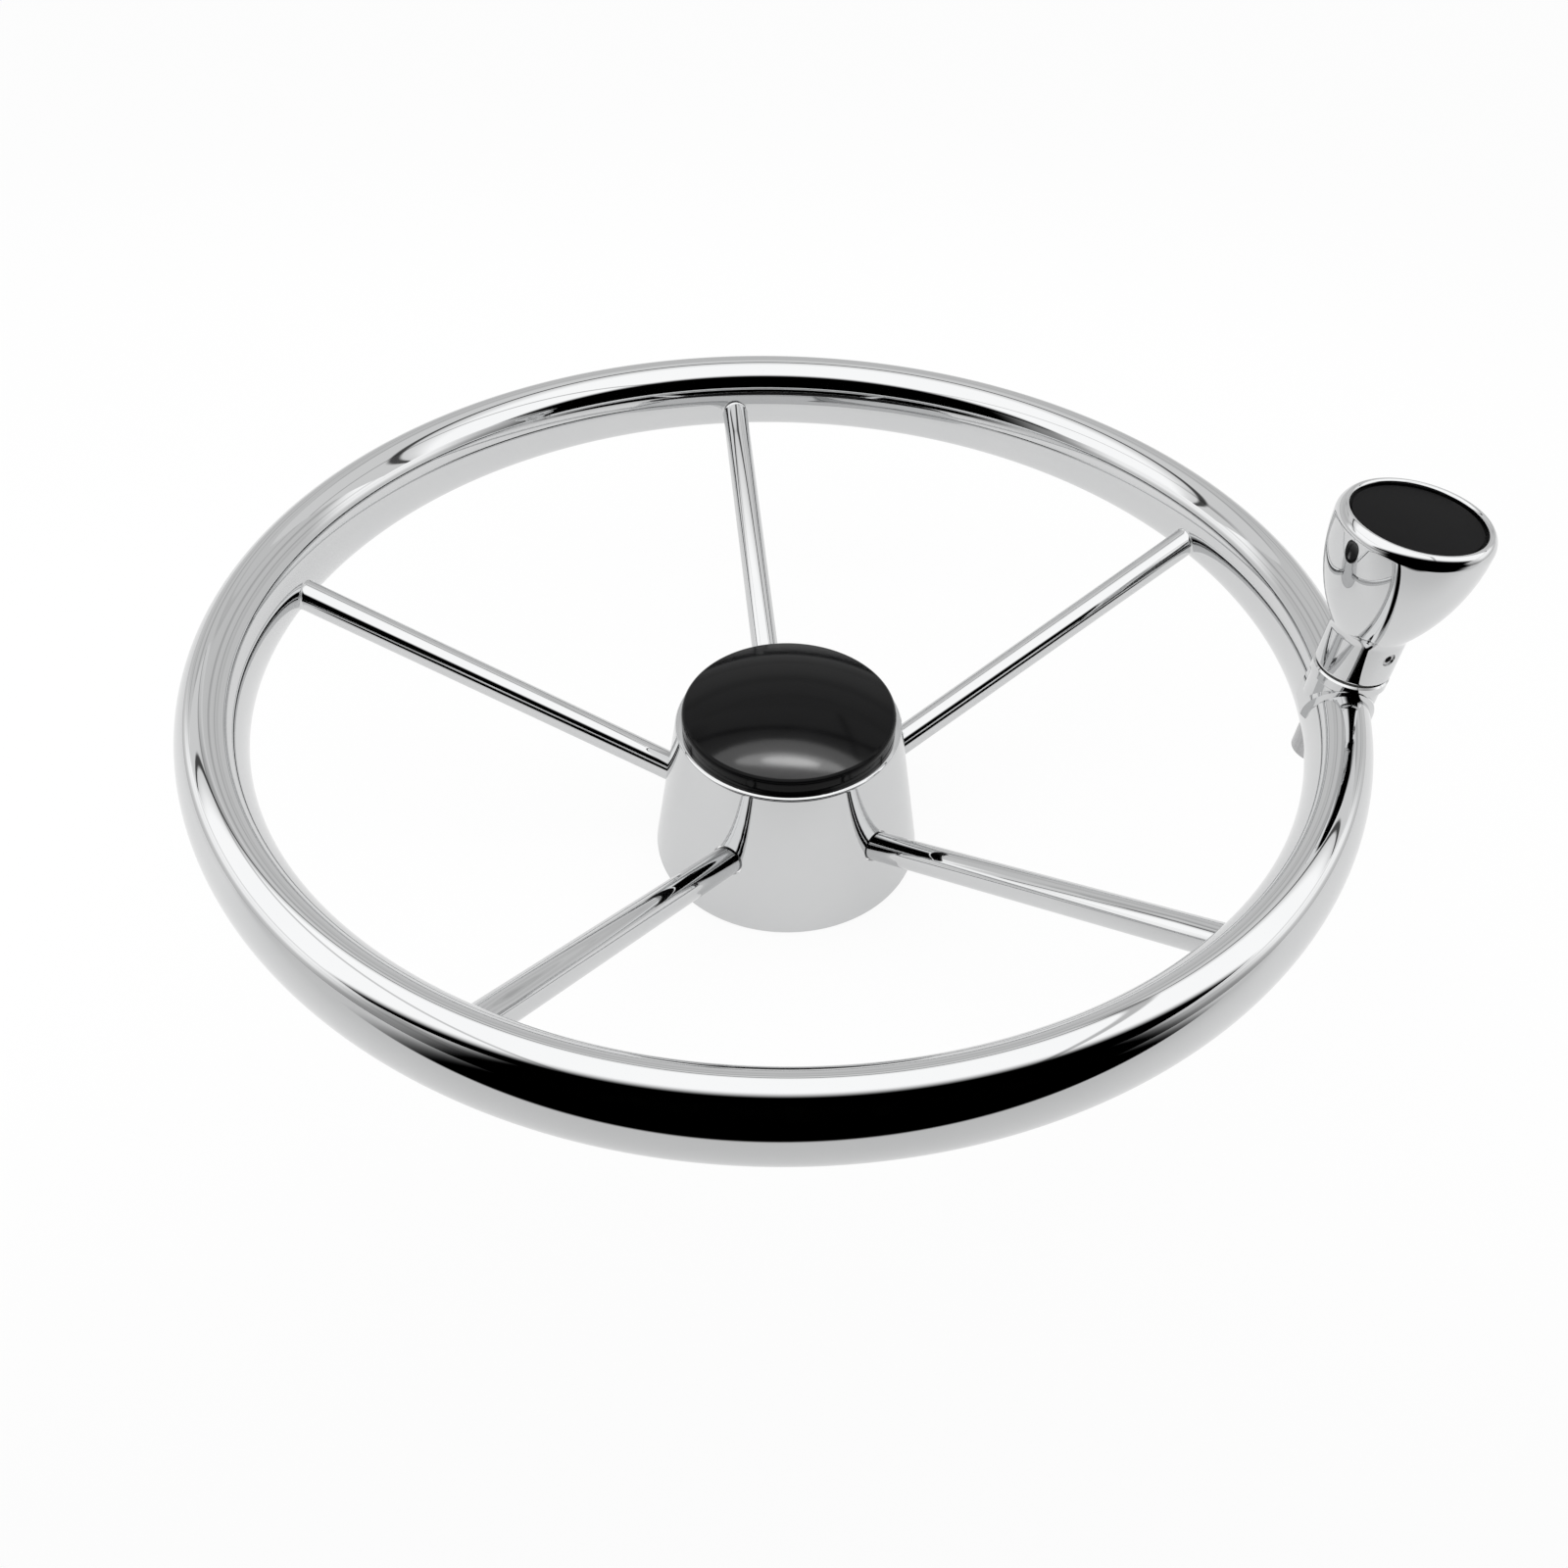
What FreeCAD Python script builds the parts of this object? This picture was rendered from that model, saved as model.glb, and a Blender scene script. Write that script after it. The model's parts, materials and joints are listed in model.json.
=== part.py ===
import FreeCAD, Part
import math
import os

import Sketcher

# Boat steering wheel: a five-spoke dished wheel in polished stainless steel.
# It has a conical hub, a push-in cap and a spinner knob on the rim.
# Millimetres and degrees. The origin is on the shaft axis in the plane of the hub's base.
# +Z points up the shaft axis towards the helmsman, and +Y points along the first spoke.

# Driving dimensions
SIZES = {
    # rim: one ring of tube, flattened to an oval section
    "rim_outer_diameter": 343.0,
    "rim_section_width": 17.4,
    "rim_section_height": 27.1,
    "rim_wall": 1.5,
    "rim_level": 85.15,
    # spokes: round bars, coped to the rim and to the boss
    "spoke_diameter": 9.525,
    "spoke_drop_at_rim": 2.05,
    "spoke_axis_level": 6.145,
    "spoke_hole_clearance": 0.15,
    # hub shell: spun cone, rolled in at the top to a flange that carries the cap
    "hub_base_diameter": 90.2,
    "hub_top_diameter": 73.8,
    "hub_height": 53.0,
    "hub_wall": 2.0,
    "hub_edge_rounding": 1.0,
    "hub_top_rounding": 3.0,
    "hub_lip_width": 2.4,
    "hub_flange_thickness": 1.6,
    "hub_ledge_width": 2.1,
    # hub boss: tapered shaft bore, keyway and spigot for the plate
    "boss_recess": 2.0,
    "boss_diameter": 38.0,
    "boss_spigot_diameter": 32.0,
    "bore_mouth_diameter": 19.05,
    "bore_taper_ratio": 12.0,
    "keyway_width": 6.35,
    "keyway_depth": 2.6,
    "boss_edge_chamfer": 1.0,
    "plate_thickness": 3.0,
    "plate_clearance": 1.5,
    # shaft nut and washer under the cap
    "shaft_thread_diameter": 15.875,
    "shaft_thread_depth": 0.69,
    "shaft_washer_clearance": 0.4,
    "shaft_washer_diameter": 30.0,
    "shaft_washer_thickness": 2.0,
    "shaft_nut_flats": 23.8,
    "shaft_nut_height": 9.5,
    "shaft_nut_land_diameter": 22.8,
    # hub cap: moulded dome with a ring of snap fingers
    "cap_edge_clearance": 0.1,
    "cap_rabbet_depth": 0.8,
    "cap_edge_height": 3.5,
    "cap_edge_rounding": 2.0,
    "cap_crown_radius": 105.0,
    "cap_wall": 2.0,
    "cap_skirt_clearance": 0.25,
    "cap_skirt_depth": 7.0,
    "cap_skirt_wall": 1.6,
    "cap_barb": 0.9,
    "cap_finger_gap": 3.0,
    # knob base: saddle foot, collar and post in one piece, seated on the rim
    "knob_azimuth": -18.0,
    "knob_lean": 1.7,
    "foot_diameter": 22.4,
    "foot_thickness": 1.4,
    "base_rise": 2.95,
    "base_block_diameter": 20.0,
    "base_block_depth": 9.0,
    "base_collar_diameter": 21.6,
    "base_collar_height": 3.0,
    "base_edge_chamfer": 0.5,
    "post_diameter": 10.0,
    "post_stand": 1.0,
    "post_end_chamfer": 0.8,
    # fastening of the base from below, through the rim
    "screw_diameter": 6.0,
    "screw_tapped_depth": 9.0,
    "screw_engagement": 7.5,
    "screw_hole_clearance": 0.3,
    "screw_head_diameter": 10.5,
    "screw_head_height": 3.3,
    "screw_head_edge": 0.55,
    "screw_head_land_diameter": 4.7,
    "screw_head_dome_radius": 6.0,
    "screw_socket_flats": 4.0,
    "screw_socket_depth": 2.1,
    "thread_clearance": 0.05,
    "sleeve_diameter": 10.0,
    "sleeve_hole_clearance": 0.1,
    "saddle_washer_diameter": 14.0,
    "saddle_washer_thickness": 2.5,
    # grub screw in the knob's neck: its dog runs in a groove of the post
    "grub_height": 9.5,
    "grub_azimuth": -60.0,
    "grub_diameter": 4.0,
    "grub_length": 4.6,
    "grub_recess": 0.8,
    "grub_socket_flats": 2.0,
    "grub_socket_depth": 2.2,
    "grub_dog_diameter": 2.5,
    "grub_dog_reach": 1.4,
    "groove_clearance": 0.2,
    # bushes and thrust washer of the knob
    "thrust_washer_thickness": 0.8,
    "thrust_washer_diameter": 17.0,
    "bush_clearance": 0.05,
    "bush_end_play": 0.15,
    "bush_wall": 1.5,
    "bush_flange_diameter": 17.0,
    "bush_flange_thickness": 1.0,
    "lower_bush_length": 5.0,
    "upper_bush_length": 8.0,
    "bush_press_clearance": 0.02,
    "flange_seat_clearance": 0.3,
    # knob body: turned flared cup
    "knob_seam": 0.5,
    "knob_neck_diameter": 22.0,
    "knob_neck_rounding": 1.0,
    "knob_blend_radius": 14.0,
    "knob_flare_radius": 48.0,
    "knob_diameter": 41.5,
    "knob_bead_height": 47.3,
    "knob_bead_radius": 3.2,
    "knob_web_length": 28.0,
    "knob_well_diameter": 24.0,
    "knob_well_depth": 12.0,
    "recess_edge_break": 0.3,
    # knob insert: moulded disc with a plug ring
    "insert_diameter": 36.0,
    "insert_thickness": 2.5,
    "insert_crown": 0.3,
    "insert_edge_clearance": 0.05,
    "insert_plug_diameter": 32.0,
    "insert_plug_wall": 1.5,
    "insert_plug_depth": 5.0,
}
SPOKE_COUNT = 5
CAP_FINGER_COUNT = 8
FULL_TURN = 360.0
HEXAGON_FLATS_TO_CORNER = math.sqrt(3)

document = FreeCAD.newDocument("steering_wheel")
sheet = document.addObject("Spreadsheet::Sheet", "sizes")
for row, (alias, number) in enumerate(SIZES.items(), start=1):
    sheet.set("A%d" % row, alias.replace("_", " "))
    sheet.set("B%d" % row, str(number))
    sheet.setAlias("B%d" % row, alias)
document.recompute()

Z_AXIS = FreeCAD.Vector(0, 0, 1)
Y_AXIS = FreeCAD.Vector(0, 1, 0)
ORIGIN = FreeCAD.Vector(0, 0, 0)


class Size:
    """A size with its number and the sheet formula that gives it."""

    def __init__(self, value, formula):
        self.value = float(value)
        self.formula = formula

    def __add__(self, other):
        other = as_size(other)
        return Size(self.value + other.value, "(%s + %s)" % (self.formula, other.formula))

    def __sub__(self, other):
        other = as_size(other)
        return Size(self.value - other.value, "(%s - %s)" % (self.formula, other.formula))

    def __mul__(self, other):
        other = as_size(other)
        return Size(self.value * other.value, "(%s * %s)" % (self.formula, other.formula))

    def __truediv__(self, other):
        other = as_size(other)
        return Size(self.value / other.value, "(%s / %s)" % (self.formula, other.formula))

    def __neg__(self):
        return Size(-self.value, "(0 - %s)" % self.formula)


def as_size(number):
    if isinstance(number, Size):
        return number
    return Size(number, repr(float(number)))


def root(size):
    return Size(math.sqrt(size.value), "sqrt(%s)" % size.formula)


def sheet_size(alias):
    return Size(sheet.get(alias), "sizes.%s" % alias)


def half(alias):
    return sheet_size(alias) / 2


ZERO = as_size(0.0)
size = {alias: sheet_size(alias) for alias in SIZES}
nodes = {}


# Helpers for sketches, bodies and primitives

def bind(feature, **sizes):
    """Set numeric properties from sizes and tie them to the sheet."""
    for name, value in sizes.items():
        feature.setExpression(name, as_size(value).formula)
    return feature


def keep(label, feature):
    """Name a finished piece."""
    feature.Label = label
    nodes[label] = feature
    return feature


def place(position=ORIGIN, rotation=FreeCAD.Rotation()):
    return FreeCAD.Placement(position, rotation)


def origin_plane(body, role):
    return [item for item in body.Origin.OriginFeatures if item.Role == role][0]


def arc_between(start, end, radius):
    """Arc from start to end, with its centre on the left for a positive radius."""
    chord = end - start
    middle = (start + end) / 2
    left = FreeCAD.Vector(-chord.y, chord.x, 0).normalize()
    rise = math.sqrt(radius * radius - chord.Length ** 2 / 4)
    centre = middle + left * math.copysign(rise, radius)
    first, last = (start, end) if radius > 0 else (end, start)
    angle_first = math.atan2(first.y - centre.y, first.x - centre.x)
    angle_last = math.atan2(last.y - centre.y, last.x - centre.x)
    if angle_last < angle_first:
        angle_last += 2 * math.pi
    circle = Part.Circle(centre, Z_AXIS, abs(radius))
    return Part.ArcOfCircle(circle, angle_first, angle_last)


def tie_coordinate(sketch, kind, axis_id, edge, end, value):
    """Fix one coordinate of an edge's end, measured from the sketch's origin."""
    if value.value == 0:
        sketch.addConstraint(Sketcher.Constraint("PointOnObject", edge, end, axis_id))
        return
    index = sketch.addConstraint(Sketcher.Constraint(kind, -1, 1, edge, end, value.value))
    sketch.setExpression("Constraints[%d]" % index, value.formula)


def draw_outline(sketch, corners):
    """Closed outline. A corner is (x, y), or (x, y, radius) where the next edge is an arc.

    A positive radius has its centre on the left of the way round, a negative one on the right.
    """
    ends = []
    for index, corner in enumerate(corners):
        following = corners[(index + 1) % len(corners)]
        start = FreeCAD.Vector(corner[0].value, corner[1].value, 0)
        end = FreeCAD.Vector(following[0].value, following[1].value, 0)
        if len(corner) == 3:
            edge = sketch.addGeometry(arc_between(start, end, corner[2].value), False)
            ends.append((edge, 1, 2) if corner[2].value > 0 else (edge, 2, 1))
        else:
            edge = sketch.addGeometry(Part.LineSegment(start, end), False)
            ends.append((edge, 1, 2))
    for index, corner in enumerate(corners):
        edge, first, last = ends[index]
        before, before_first, before_last = ends[index - 1]
        sketch.addConstraint(Sketcher.Constraint("Coincident", before, before_last, edge, first))
        tie_coordinate(sketch, "DistanceX", -2, edge, first, corner[0])
        tie_coordinate(sketch, "DistanceY", -1, edge, first, corner[1])
        if len(corner) == 3:
            radius = corner[2] if corner[2].value > 0 else -corner[2]
            bend = sketch.addConstraint(Sketcher.Constraint("Radius", edge, radius.value))
            sketch.setExpression("Constraints[%d]" % bend, radius.formula)


def add_sketch(body, name, role, corners):
    sketch = body.newObject("Sketcher::SketchObject", name)
    sketch.AttachmentSupport = [(origin_plane(body, role), "")]
    sketch.MapMode = "FlatFace"
    draw_outline(sketch, [tuple(as_size(number) for number in corner) for corner in corners])
    return sketch


def turned_body(name, corners, placement=None):
    """Body turned about its own Z axis from an outline of (radius, height) corners."""
    body = document.addObject("PartDesign::Body", name + "_body")
    sketch = add_sketch(body, name + "_section", "XZ_Plane", corners)
    turning = body.newObject("PartDesign::Revolution", name + "_turning")
    turning.Profile = sketch
    turning.ReferenceAxis = (sketch, ["V_Axis"])
    turning.Angle = FULL_TURN
    body.Tip = turning
    if placement is not None:
        body.Placement = placement
    return body


def through_pocket(body, name, corners):
    """Cut an outline in the XY plane right through a body, upwards and downwards."""
    sketch = add_sketch(body, name + "_outline", "XY_Plane", corners)
    pocket = body.newObject("PartDesign::Pocket", name)
    pocket.Profile = sketch
    pocket.Type = "ThroughAll"
    pocket.Midplane = True
    body.Tip = pocket
    return pocket


def polar_pattern(body, name, original, count):
    pattern = body.newObject("PartDesign::PolarPattern", name)
    pattern.Originals = [original]
    pattern.Axis = (origin_plane(body, "Z_Axis"), [""])
    pattern.Angle = FULL_TURN
    pattern.Occurrences = count
    body.Tip = pattern
    return pattern


def cylinder(name, radius, height, placement):
    feature = document.addObject("Part::Cylinder", name)
    bind(feature, Radius=radius, Height=height)
    feature.Placement = placement
    return feature


def hexagon(name, flats, height, placement):
    feature = document.addObject("Part::Prism", name)
    feature.Polygon = 6
    bind(feature, Circumradius=flats / HEXAGON_FLATS_TO_CORNER, Height=height)
    feature.Placement = placement
    return feature


def cut(name, base, tool):
    feature = document.addObject("Part::Cut", name)
    feature.Base = base
    feature.Tool = tool
    return feature


def cut_all(name, base, tools):
    """Cut several tools from a base, one after another."""
    for number, tool in enumerate(tools, start=1):
        base = cut("%s_cut_%d" % (name, number), base, tool)
    return base


def common(name, first, second):
    feature = document.addObject("Part::Common", name)
    feature.Base = first
    feature.Tool = second
    return feature


def fuse(name, first, second):
    feature = document.addObject("Part::Fuse", name)
    feature.Base = first
    feature.Tool = second
    feature.Refine = True
    return feature


# Rim: the oval's long axis stands upright, parallel to the shaft
rim_half_width = half("rim_section_width")
rim_half_height = half("rim_section_height")
rim_radius = half("rim_outer_diameter") - rim_half_width
OVAL_UPRIGHT = FreeCAD.Rotation(FreeCAD.Vector(1, 1, 1), 240)


def rim_form(name, growth):
    """Solid ring with the rim's oval section, grown all round by a thickness."""
    oval = document.addObject("Part::Ellipse", name + "_oval")
    bind(oval, MajorRadius=rim_half_height + growth, MinorRadius=rim_half_width + growth)
    oval.Placement = place(rotation=OVAL_UPRIGHT)
    oval.setExpression("Placement.Base.x", rim_radius.formula)
    oval.setExpression("Placement.Base.z", size["rim_level"].formula)
    ring = document.addObject("Part::Revolution", name)
    ring.Source = oval
    ring.Axis = Z_AXIS
    ring.Base = ORIGIN
    ring.Angle = FULL_TURN
    ring.Solid = True
    return ring


rim_skin = rim_form("rim_skin", ZERO)
rim_hollow = rim_form("rim_hollow", -size["rim_wall"])
rim_foot_skin = rim_form("rim_foot_skin", size["foot_thickness"])


# Knob frame: its origin is on the rim's centre line, its Z axis leans outwards

def knob_frame():
    azimuth = size["knob_azimuth"].value
    position = FreeCAD.Vector(
        rim_radius.value * math.cos(math.radians(azimuth)),
        rim_radius.value * math.sin(math.radians(azimuth)),
        size["rim_level"].value,
    )
    turn = FreeCAD.Rotation(Z_AXIS, azimuth)
    lean = FreeCAD.Rotation(Y_AXIS, size["knob_lean"].value)
    return place(position, turn * lean)


KNOB = knob_frame()


def at_knob(level=ZERO):
    """Placement on the knob's axis, at a level above the rim's centre line."""
    return KNOB * place(FreeCAD.Vector(0, 0, level.value))


thread_radius = half("screw_diameter")
screw_radius = thread_radius - size["thread_clearance"]
screw_hole_radius = thread_radius + size["screw_hole_clearance"]
sleeve_radius = half("sleeve_diameter")
sleeve_hole_radius = sleeve_radius + size["sleeve_hole_clearance"]
below_rim = rim_half_height + size["saddle_washer_thickness"]

upper_rim_hole = cylinder("upper_rim_hole", screw_hole_radius, rim_half_height * 2, at_knob())
lower_rim_hole = cylinder(
    "lower_rim_hole", sleeve_hole_radius, rim_half_height * 2, at_knob(-rim_half_height * 2)
)
keep("rim_tube", cut_all("rim", rim_skin, [rim_hollow, upper_rim_hole, lower_rim_hole]))


# Spokes: each axis starts on the shaft axis and passes just under the rim's centre line
spoke_radius = half("spoke_diameter")
spoke_climb = size["rim_level"] - size["spoke_drop_at_rim"] - size["spoke_axis_level"]
spoke_length = root(rim_radius * rim_radius + spoke_climb * spoke_climb)
spoke_rise = spoke_climb / rim_radius
SPOKE_DISH = math.degrees(math.atan(spoke_rise.value))
boss_radius = half("boss_diameter")
boss_form = cylinder("boss_form", boss_radius, size["rim_level"] * 2,
                     place(FreeCAD.Vector(0, 0, -size["rim_level"].value)))
FIRST_SPOKE_AZIMUTH = 90.0
SPOKE_PITCH = FULL_TURN / SPOKE_COUNT


def spoke_frame(number):
    """Placement at the shaft axis with Z along the spoke, outwards and up."""
    position = FreeCAD.Vector(0, 0, size["spoke_axis_level"].value)
    turn = FreeCAD.Rotation(Z_AXIS, FIRST_SPOKE_AZIMUTH - SPOKE_PITCH * number)
    lean = FreeCAD.Rotation(Y_AXIS, 90.0 - SPOKE_DISH)
    return place(position, turn * lean)


for number in range(SPOKE_COUNT):
    label = "spoke_%d" % (number + 1)
    bar = cylinder(label + "_bar", spoke_radius, spoke_length, spoke_frame(number))
    keep(label, cut_all(label, bar, [rim_skin, boss_form]))


# Hub shell: a cone with a rounded foot edge and a rolled top edge, whose flange carries the cap
hub_base_radius = half("hub_base_diameter")
hub_top_radius = half("hub_top_diameter")
hub_cone_top = size["hub_height"] - size["hub_top_rounding"]
hub_slope = (hub_base_radius - hub_top_radius) / hub_cone_top
hub_rounding = size["hub_edge_rounding"]
rabbet_radius = hub_top_radius - size["hub_lip_width"]
opening_radius = rabbet_radius - size["hub_ledge_width"]
rabbet_level = size["hub_height"] - size["cap_rabbet_depth"]
flange_floor = rabbet_level - size["hub_flange_thickness"]


def hub_outer_radius(level):
    return hub_base_radius - hub_slope * level


def hub_inner_radius(level):
    return hub_outer_radius(level) - size["hub_wall"]


shell_body = turned_body("hub_shell", [
    (hub_inner_radius(ZERO), ZERO),
    (hub_base_radius - hub_rounding, ZERO, hub_rounding),
    (hub_outer_radius(hub_rounding), hub_rounding),
    (hub_top_radius, hub_cone_top, size["hub_top_rounding"]),
    (rabbet_radius, size["hub_height"]),
    (rabbet_radius, rabbet_level),
    (opening_radius, rabbet_level),
    (opening_radius, flange_floor),
    (hub_inner_radius(flange_floor), flange_floor),
])
spoke_hole = shell_body.newObject("PartDesign::SubtractiveCylinder", "spoke_hole")
bind(spoke_hole, Radius=spoke_radius + size["spoke_hole_clearance"], Height=spoke_length / 2)
spoke_hole.Placement = spoke_frame(0)
polar_pattern(shell_body, "spoke_holes", spoke_hole, SPOKE_COUNT)
keep("hub_shell", shell_body)


# Hub plate's level: it lies just above the place where the spokes cross the shell's inside
spoke_upper_side = size["spoke_axis_level"] + spoke_radius * spoke_length / rim_radius
spoke_crossing = (spoke_upper_side + hub_inner_radius(ZERO) * spoke_rise) / (hub_slope * spoke_rise + 1.0)
plate_floor = spoke_crossing + size["plate_clearance"]
boss_top = plate_floor + size["plate_thickness"]


# Hub boss: taper bore, keyway and a spigot that the plate drops over
boss_floor = size["boss_recess"]
bore_mouth_radius = half("bore_mouth_diameter")
bore_end_radius = bore_mouth_radius - (boss_top - boss_floor) / size["bore_taper_ratio"] / 2
spigot_radius = half("boss_spigot_diameter")
boss_chamfer = size["boss_edge_chamfer"]
boss_body = turned_body("hub_boss", [
    (bore_mouth_radius, boss_floor),
    (boss_radius - boss_chamfer, boss_floor),
    (boss_radius, boss_floor + boss_chamfer),
    (boss_radius, plate_floor),
    (spigot_radius, plate_floor),
    (spigot_radius, boss_top),
    (bore_end_radius, boss_top),
])
keyway_half = half("keyway_width")
keyway_end = bore_mouth_radius + size["keyway_depth"]
through_pocket(boss_body, "keyway", [
    (-keyway_half, ZERO),
    (keyway_half, ZERO),
    (keyway_half, keyway_end),
    (-keyway_half, keyway_end),
])
keep("hub_boss", boss_body)

keep("hub_plate", turned_body("hub_plate", [
    (spigot_radius, plate_floor),
    (hub_inner_radius(plate_floor), plate_floor),
    (hub_inner_radius(boss_top), boss_top),
    (spigot_radius, boss_top),
]))


# Shaft washer and nut: they hold the wheel on the shaft's threaded end
shaft_nut_floor = boss_top + size["shaft_washer_thickness"]
shaft_washer_bore = half("shaft_thread_diameter") + size["shaft_washer_clearance"]
shaft_nut_bore = half("shaft_thread_diameter") - size["shaft_thread_depth"]
keep("shaft_washer", turned_body("shaft_washer", [
    (shaft_washer_bore, boss_top),
    (half("shaft_washer_diameter"), boss_top),
    (half("shaft_washer_diameter"), shaft_nut_floor),
    (shaft_washer_bore, shaft_nut_floor),
]))


nut_corner = size["shaft_nut_flats"] / HEXAGON_FLATS_TO_CORNER
nut_land = half("shaft_nut_land_diameter")
nut_chamfer = (nut_corner - nut_land) / 2
nut_height = size["shaft_nut_height"]
nut_place = place(FreeCAD.Vector(0, 0, shaft_nut_floor.value))
nut_blank = hexagon("nut_blank", size["shaft_nut_flats"], nut_height, nut_place)
nut_turned = turned_body("nut_turned", [
    (shaft_nut_bore, ZERO),
    (nut_land, ZERO),
    (nut_corner, nut_chamfer),
    (nut_corner, nut_height - nut_chamfer),
    (nut_land, nut_height),
    (shaft_nut_bore, nut_height),
], nut_place)
keep("shaft_nut", common("shaft_nut", nut_blank, nut_turned))


# Hub cap: upright edge, rounded shoulder, domed face and a skirt of snap fingers under the flange
cap_radius = rabbet_radius - size["cap_edge_clearance"]
cap_rounding = size["cap_edge_rounding"]
cap_shoulder = size["hub_height"] + size["cap_edge_height"]
shoulder_centre = cap_radius - cap_rounding
crown_radius = size["cap_crown_radius"]
crown_span = crown_radius - cap_rounding
crown_drop = root(crown_span * crown_span - shoulder_centre * shoulder_centre)
crown_centre = cap_shoulder - crown_drop
crown_edge_radius = shoulder_centre * crown_radius / crown_span
crown_edge_level = crown_centre + crown_drop * crown_radius / crown_span
skirt_radius = opening_radius - size["cap_skirt_clearance"]
skirt_inner_radius = skirt_radius - size["cap_skirt_wall"]
skirt_foot = rabbet_level - size["cap_skirt_depth"]
barb = size["cap_barb"]
vault_radius = crown_radius - size["cap_wall"]
vault_edge_level = crown_centre + root(vault_radius * vault_radius - skirt_inner_radius * skirt_inner_radius)
cap_body = turned_body("hub_cap", [
    (ZERO, crown_centre + vault_radius, -vault_radius),
    (skirt_inner_radius, vault_edge_level),
    (skirt_inner_radius, skirt_foot),
    (skirt_radius, skirt_foot),
    (skirt_radius + barb, flange_floor - barb),
    (skirt_radius, flange_floor),
    (skirt_radius, rabbet_level),
    (cap_radius, rabbet_level),
    (cap_radius, cap_shoulder, cap_rounding),
    (crown_edge_radius, crown_edge_level, crown_radius),
    (ZERO, crown_centre + crown_radius),
])
finger_slot = cap_body.newObject("PartDesign::SubtractiveBox", "finger_slot")
bind(finger_slot, Length=skirt_radius + barb * 2, Width=size["cap_finger_gap"],
     Height=size["cap_skirt_depth"] - barb)
finger_slot.Placement = place(
    FreeCAD.Vector(0, -size["cap_finger_gap"].value / 2, skirt_foot.value)
)
polar_pattern(cap_body, "finger_slots", finger_slot, CAP_FINGER_COUNT)
keep("hub_cap", cap_body)


# Levels up the knob's axis, counted from the rim's centre line
base_top = rim_half_height + size["base_rise"]
knob_floor = base_top + size["knob_seam"]
lower_bush_floor = base_top + size["thrust_washer_thickness"] + size["bush_end_play"]
bore_floor = lower_bush_floor + size["bush_flange_thickness"]
web_top = knob_floor + size["knob_web_length"]
grub_level = knob_floor + size["grub_height"]
post_top = web_top + size["bush_flange_thickness"] + size["post_stand"]


# Knob base: saddle foot, block, collar and post are one piece, seated on the rim
post_radius = half("post_diameter")
block_radius = half("base_block_diameter")
collar_radius = half("base_collar_diameter")
collar_floor = base_top - size["base_collar_height"]
base_chamfer = size["base_edge_chamfer"]
block_floor = rim_half_height - size["base_block_depth"]
neck_radius = half("knob_neck_diameter")
dog_radius = half("grub_dog_diameter")
dog_tip = neck_radius - size["grub_recess"] - size["grub_length"] - size["grub_dog_reach"]
groove_radius = dog_tip - size["groove_clearance"]
groove_half_width = dog_radius + size["groove_clearance"]
post_blank = turned_body("post_blank", [
    (ZERO, block_floor),
    (block_radius, block_floor),
    (block_radius, collar_floor - (collar_radius - block_radius)),
    (collar_radius, collar_floor),
    (collar_radius, base_top - base_chamfer),
    (collar_radius - base_chamfer, base_top),
    (post_radius, base_top),
    (post_radius, grub_level - groove_half_width),
    (groove_radius, grub_level - groove_half_width),
    (groove_radius, grub_level + groove_half_width),
    (post_radius, grub_level + groove_half_width),
    (post_radius, post_top - size["post_end_chamfer"]),
    (post_radius - size["post_end_chamfer"], post_top),
    (ZERO, post_top),
], at_knob())
foot_disc = cylinder("foot_disc", half("foot_diameter"), base_top, at_knob())
foot = common("base_foot", rim_foot_skin, foot_disc)
tapped_top = rim_half_height + size["screw_tapped_depth"]
tapped_hole = turned_body("tapped_hole", [
    (ZERO, ZERO),
    (thread_radius, ZERO),
    (thread_radius, tapped_top),
    (ZERO, tapped_top + thread_radius / 2),
], at_knob())
keep("knob_base", cut_all("knob_base", fuse("base_blank", post_blank, foot), [rim_skin, tapped_hole]))


# Grub screw: keeps the knob on its post and turns with it

def at_grub(reach):
    """Placement on the grub screw's axis, at a distance from the post's axis."""
    turn = FreeCAD.Rotation(Z_AXIS, size["grub_azimuth"].value)
    lay = FreeCAD.Rotation(Y_AXIS, 90.0)
    outwards = place(FreeCAD.Vector(0, 0, reach.value))
    return at_knob(grub_level) * place(rotation=turn * lay) * outwards


grub_radius = half("grub_diameter")
grub_face = neck_radius - size["grub_recess"]
grub_hole = cylinder("grub_hole", grub_radius, neck_radius, at_grub(post_radius))
grub_blank = turned_body("grub_blank", [
    (ZERO, ZERO),
    (dog_radius, ZERO),
    (dog_radius, size["grub_dog_reach"]),
    (grub_radius - size["thread_clearance"], size["grub_dog_reach"]),
    (grub_radius - size["thread_clearance"], size["grub_dog_reach"] + size["grub_length"]),
    (ZERO, size["grub_dog_reach"] + size["grub_length"]),
], at_grub(dog_tip))
grub_socket = hexagon("grub_socket", size["grub_socket_flats"], size["grub_socket_depth"] * 2,
                      at_grub(grub_face - size["grub_socket_depth"]))
keep("knob_grub_screw", cut("knob_grub_screw", grub_blank, grub_socket))


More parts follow.
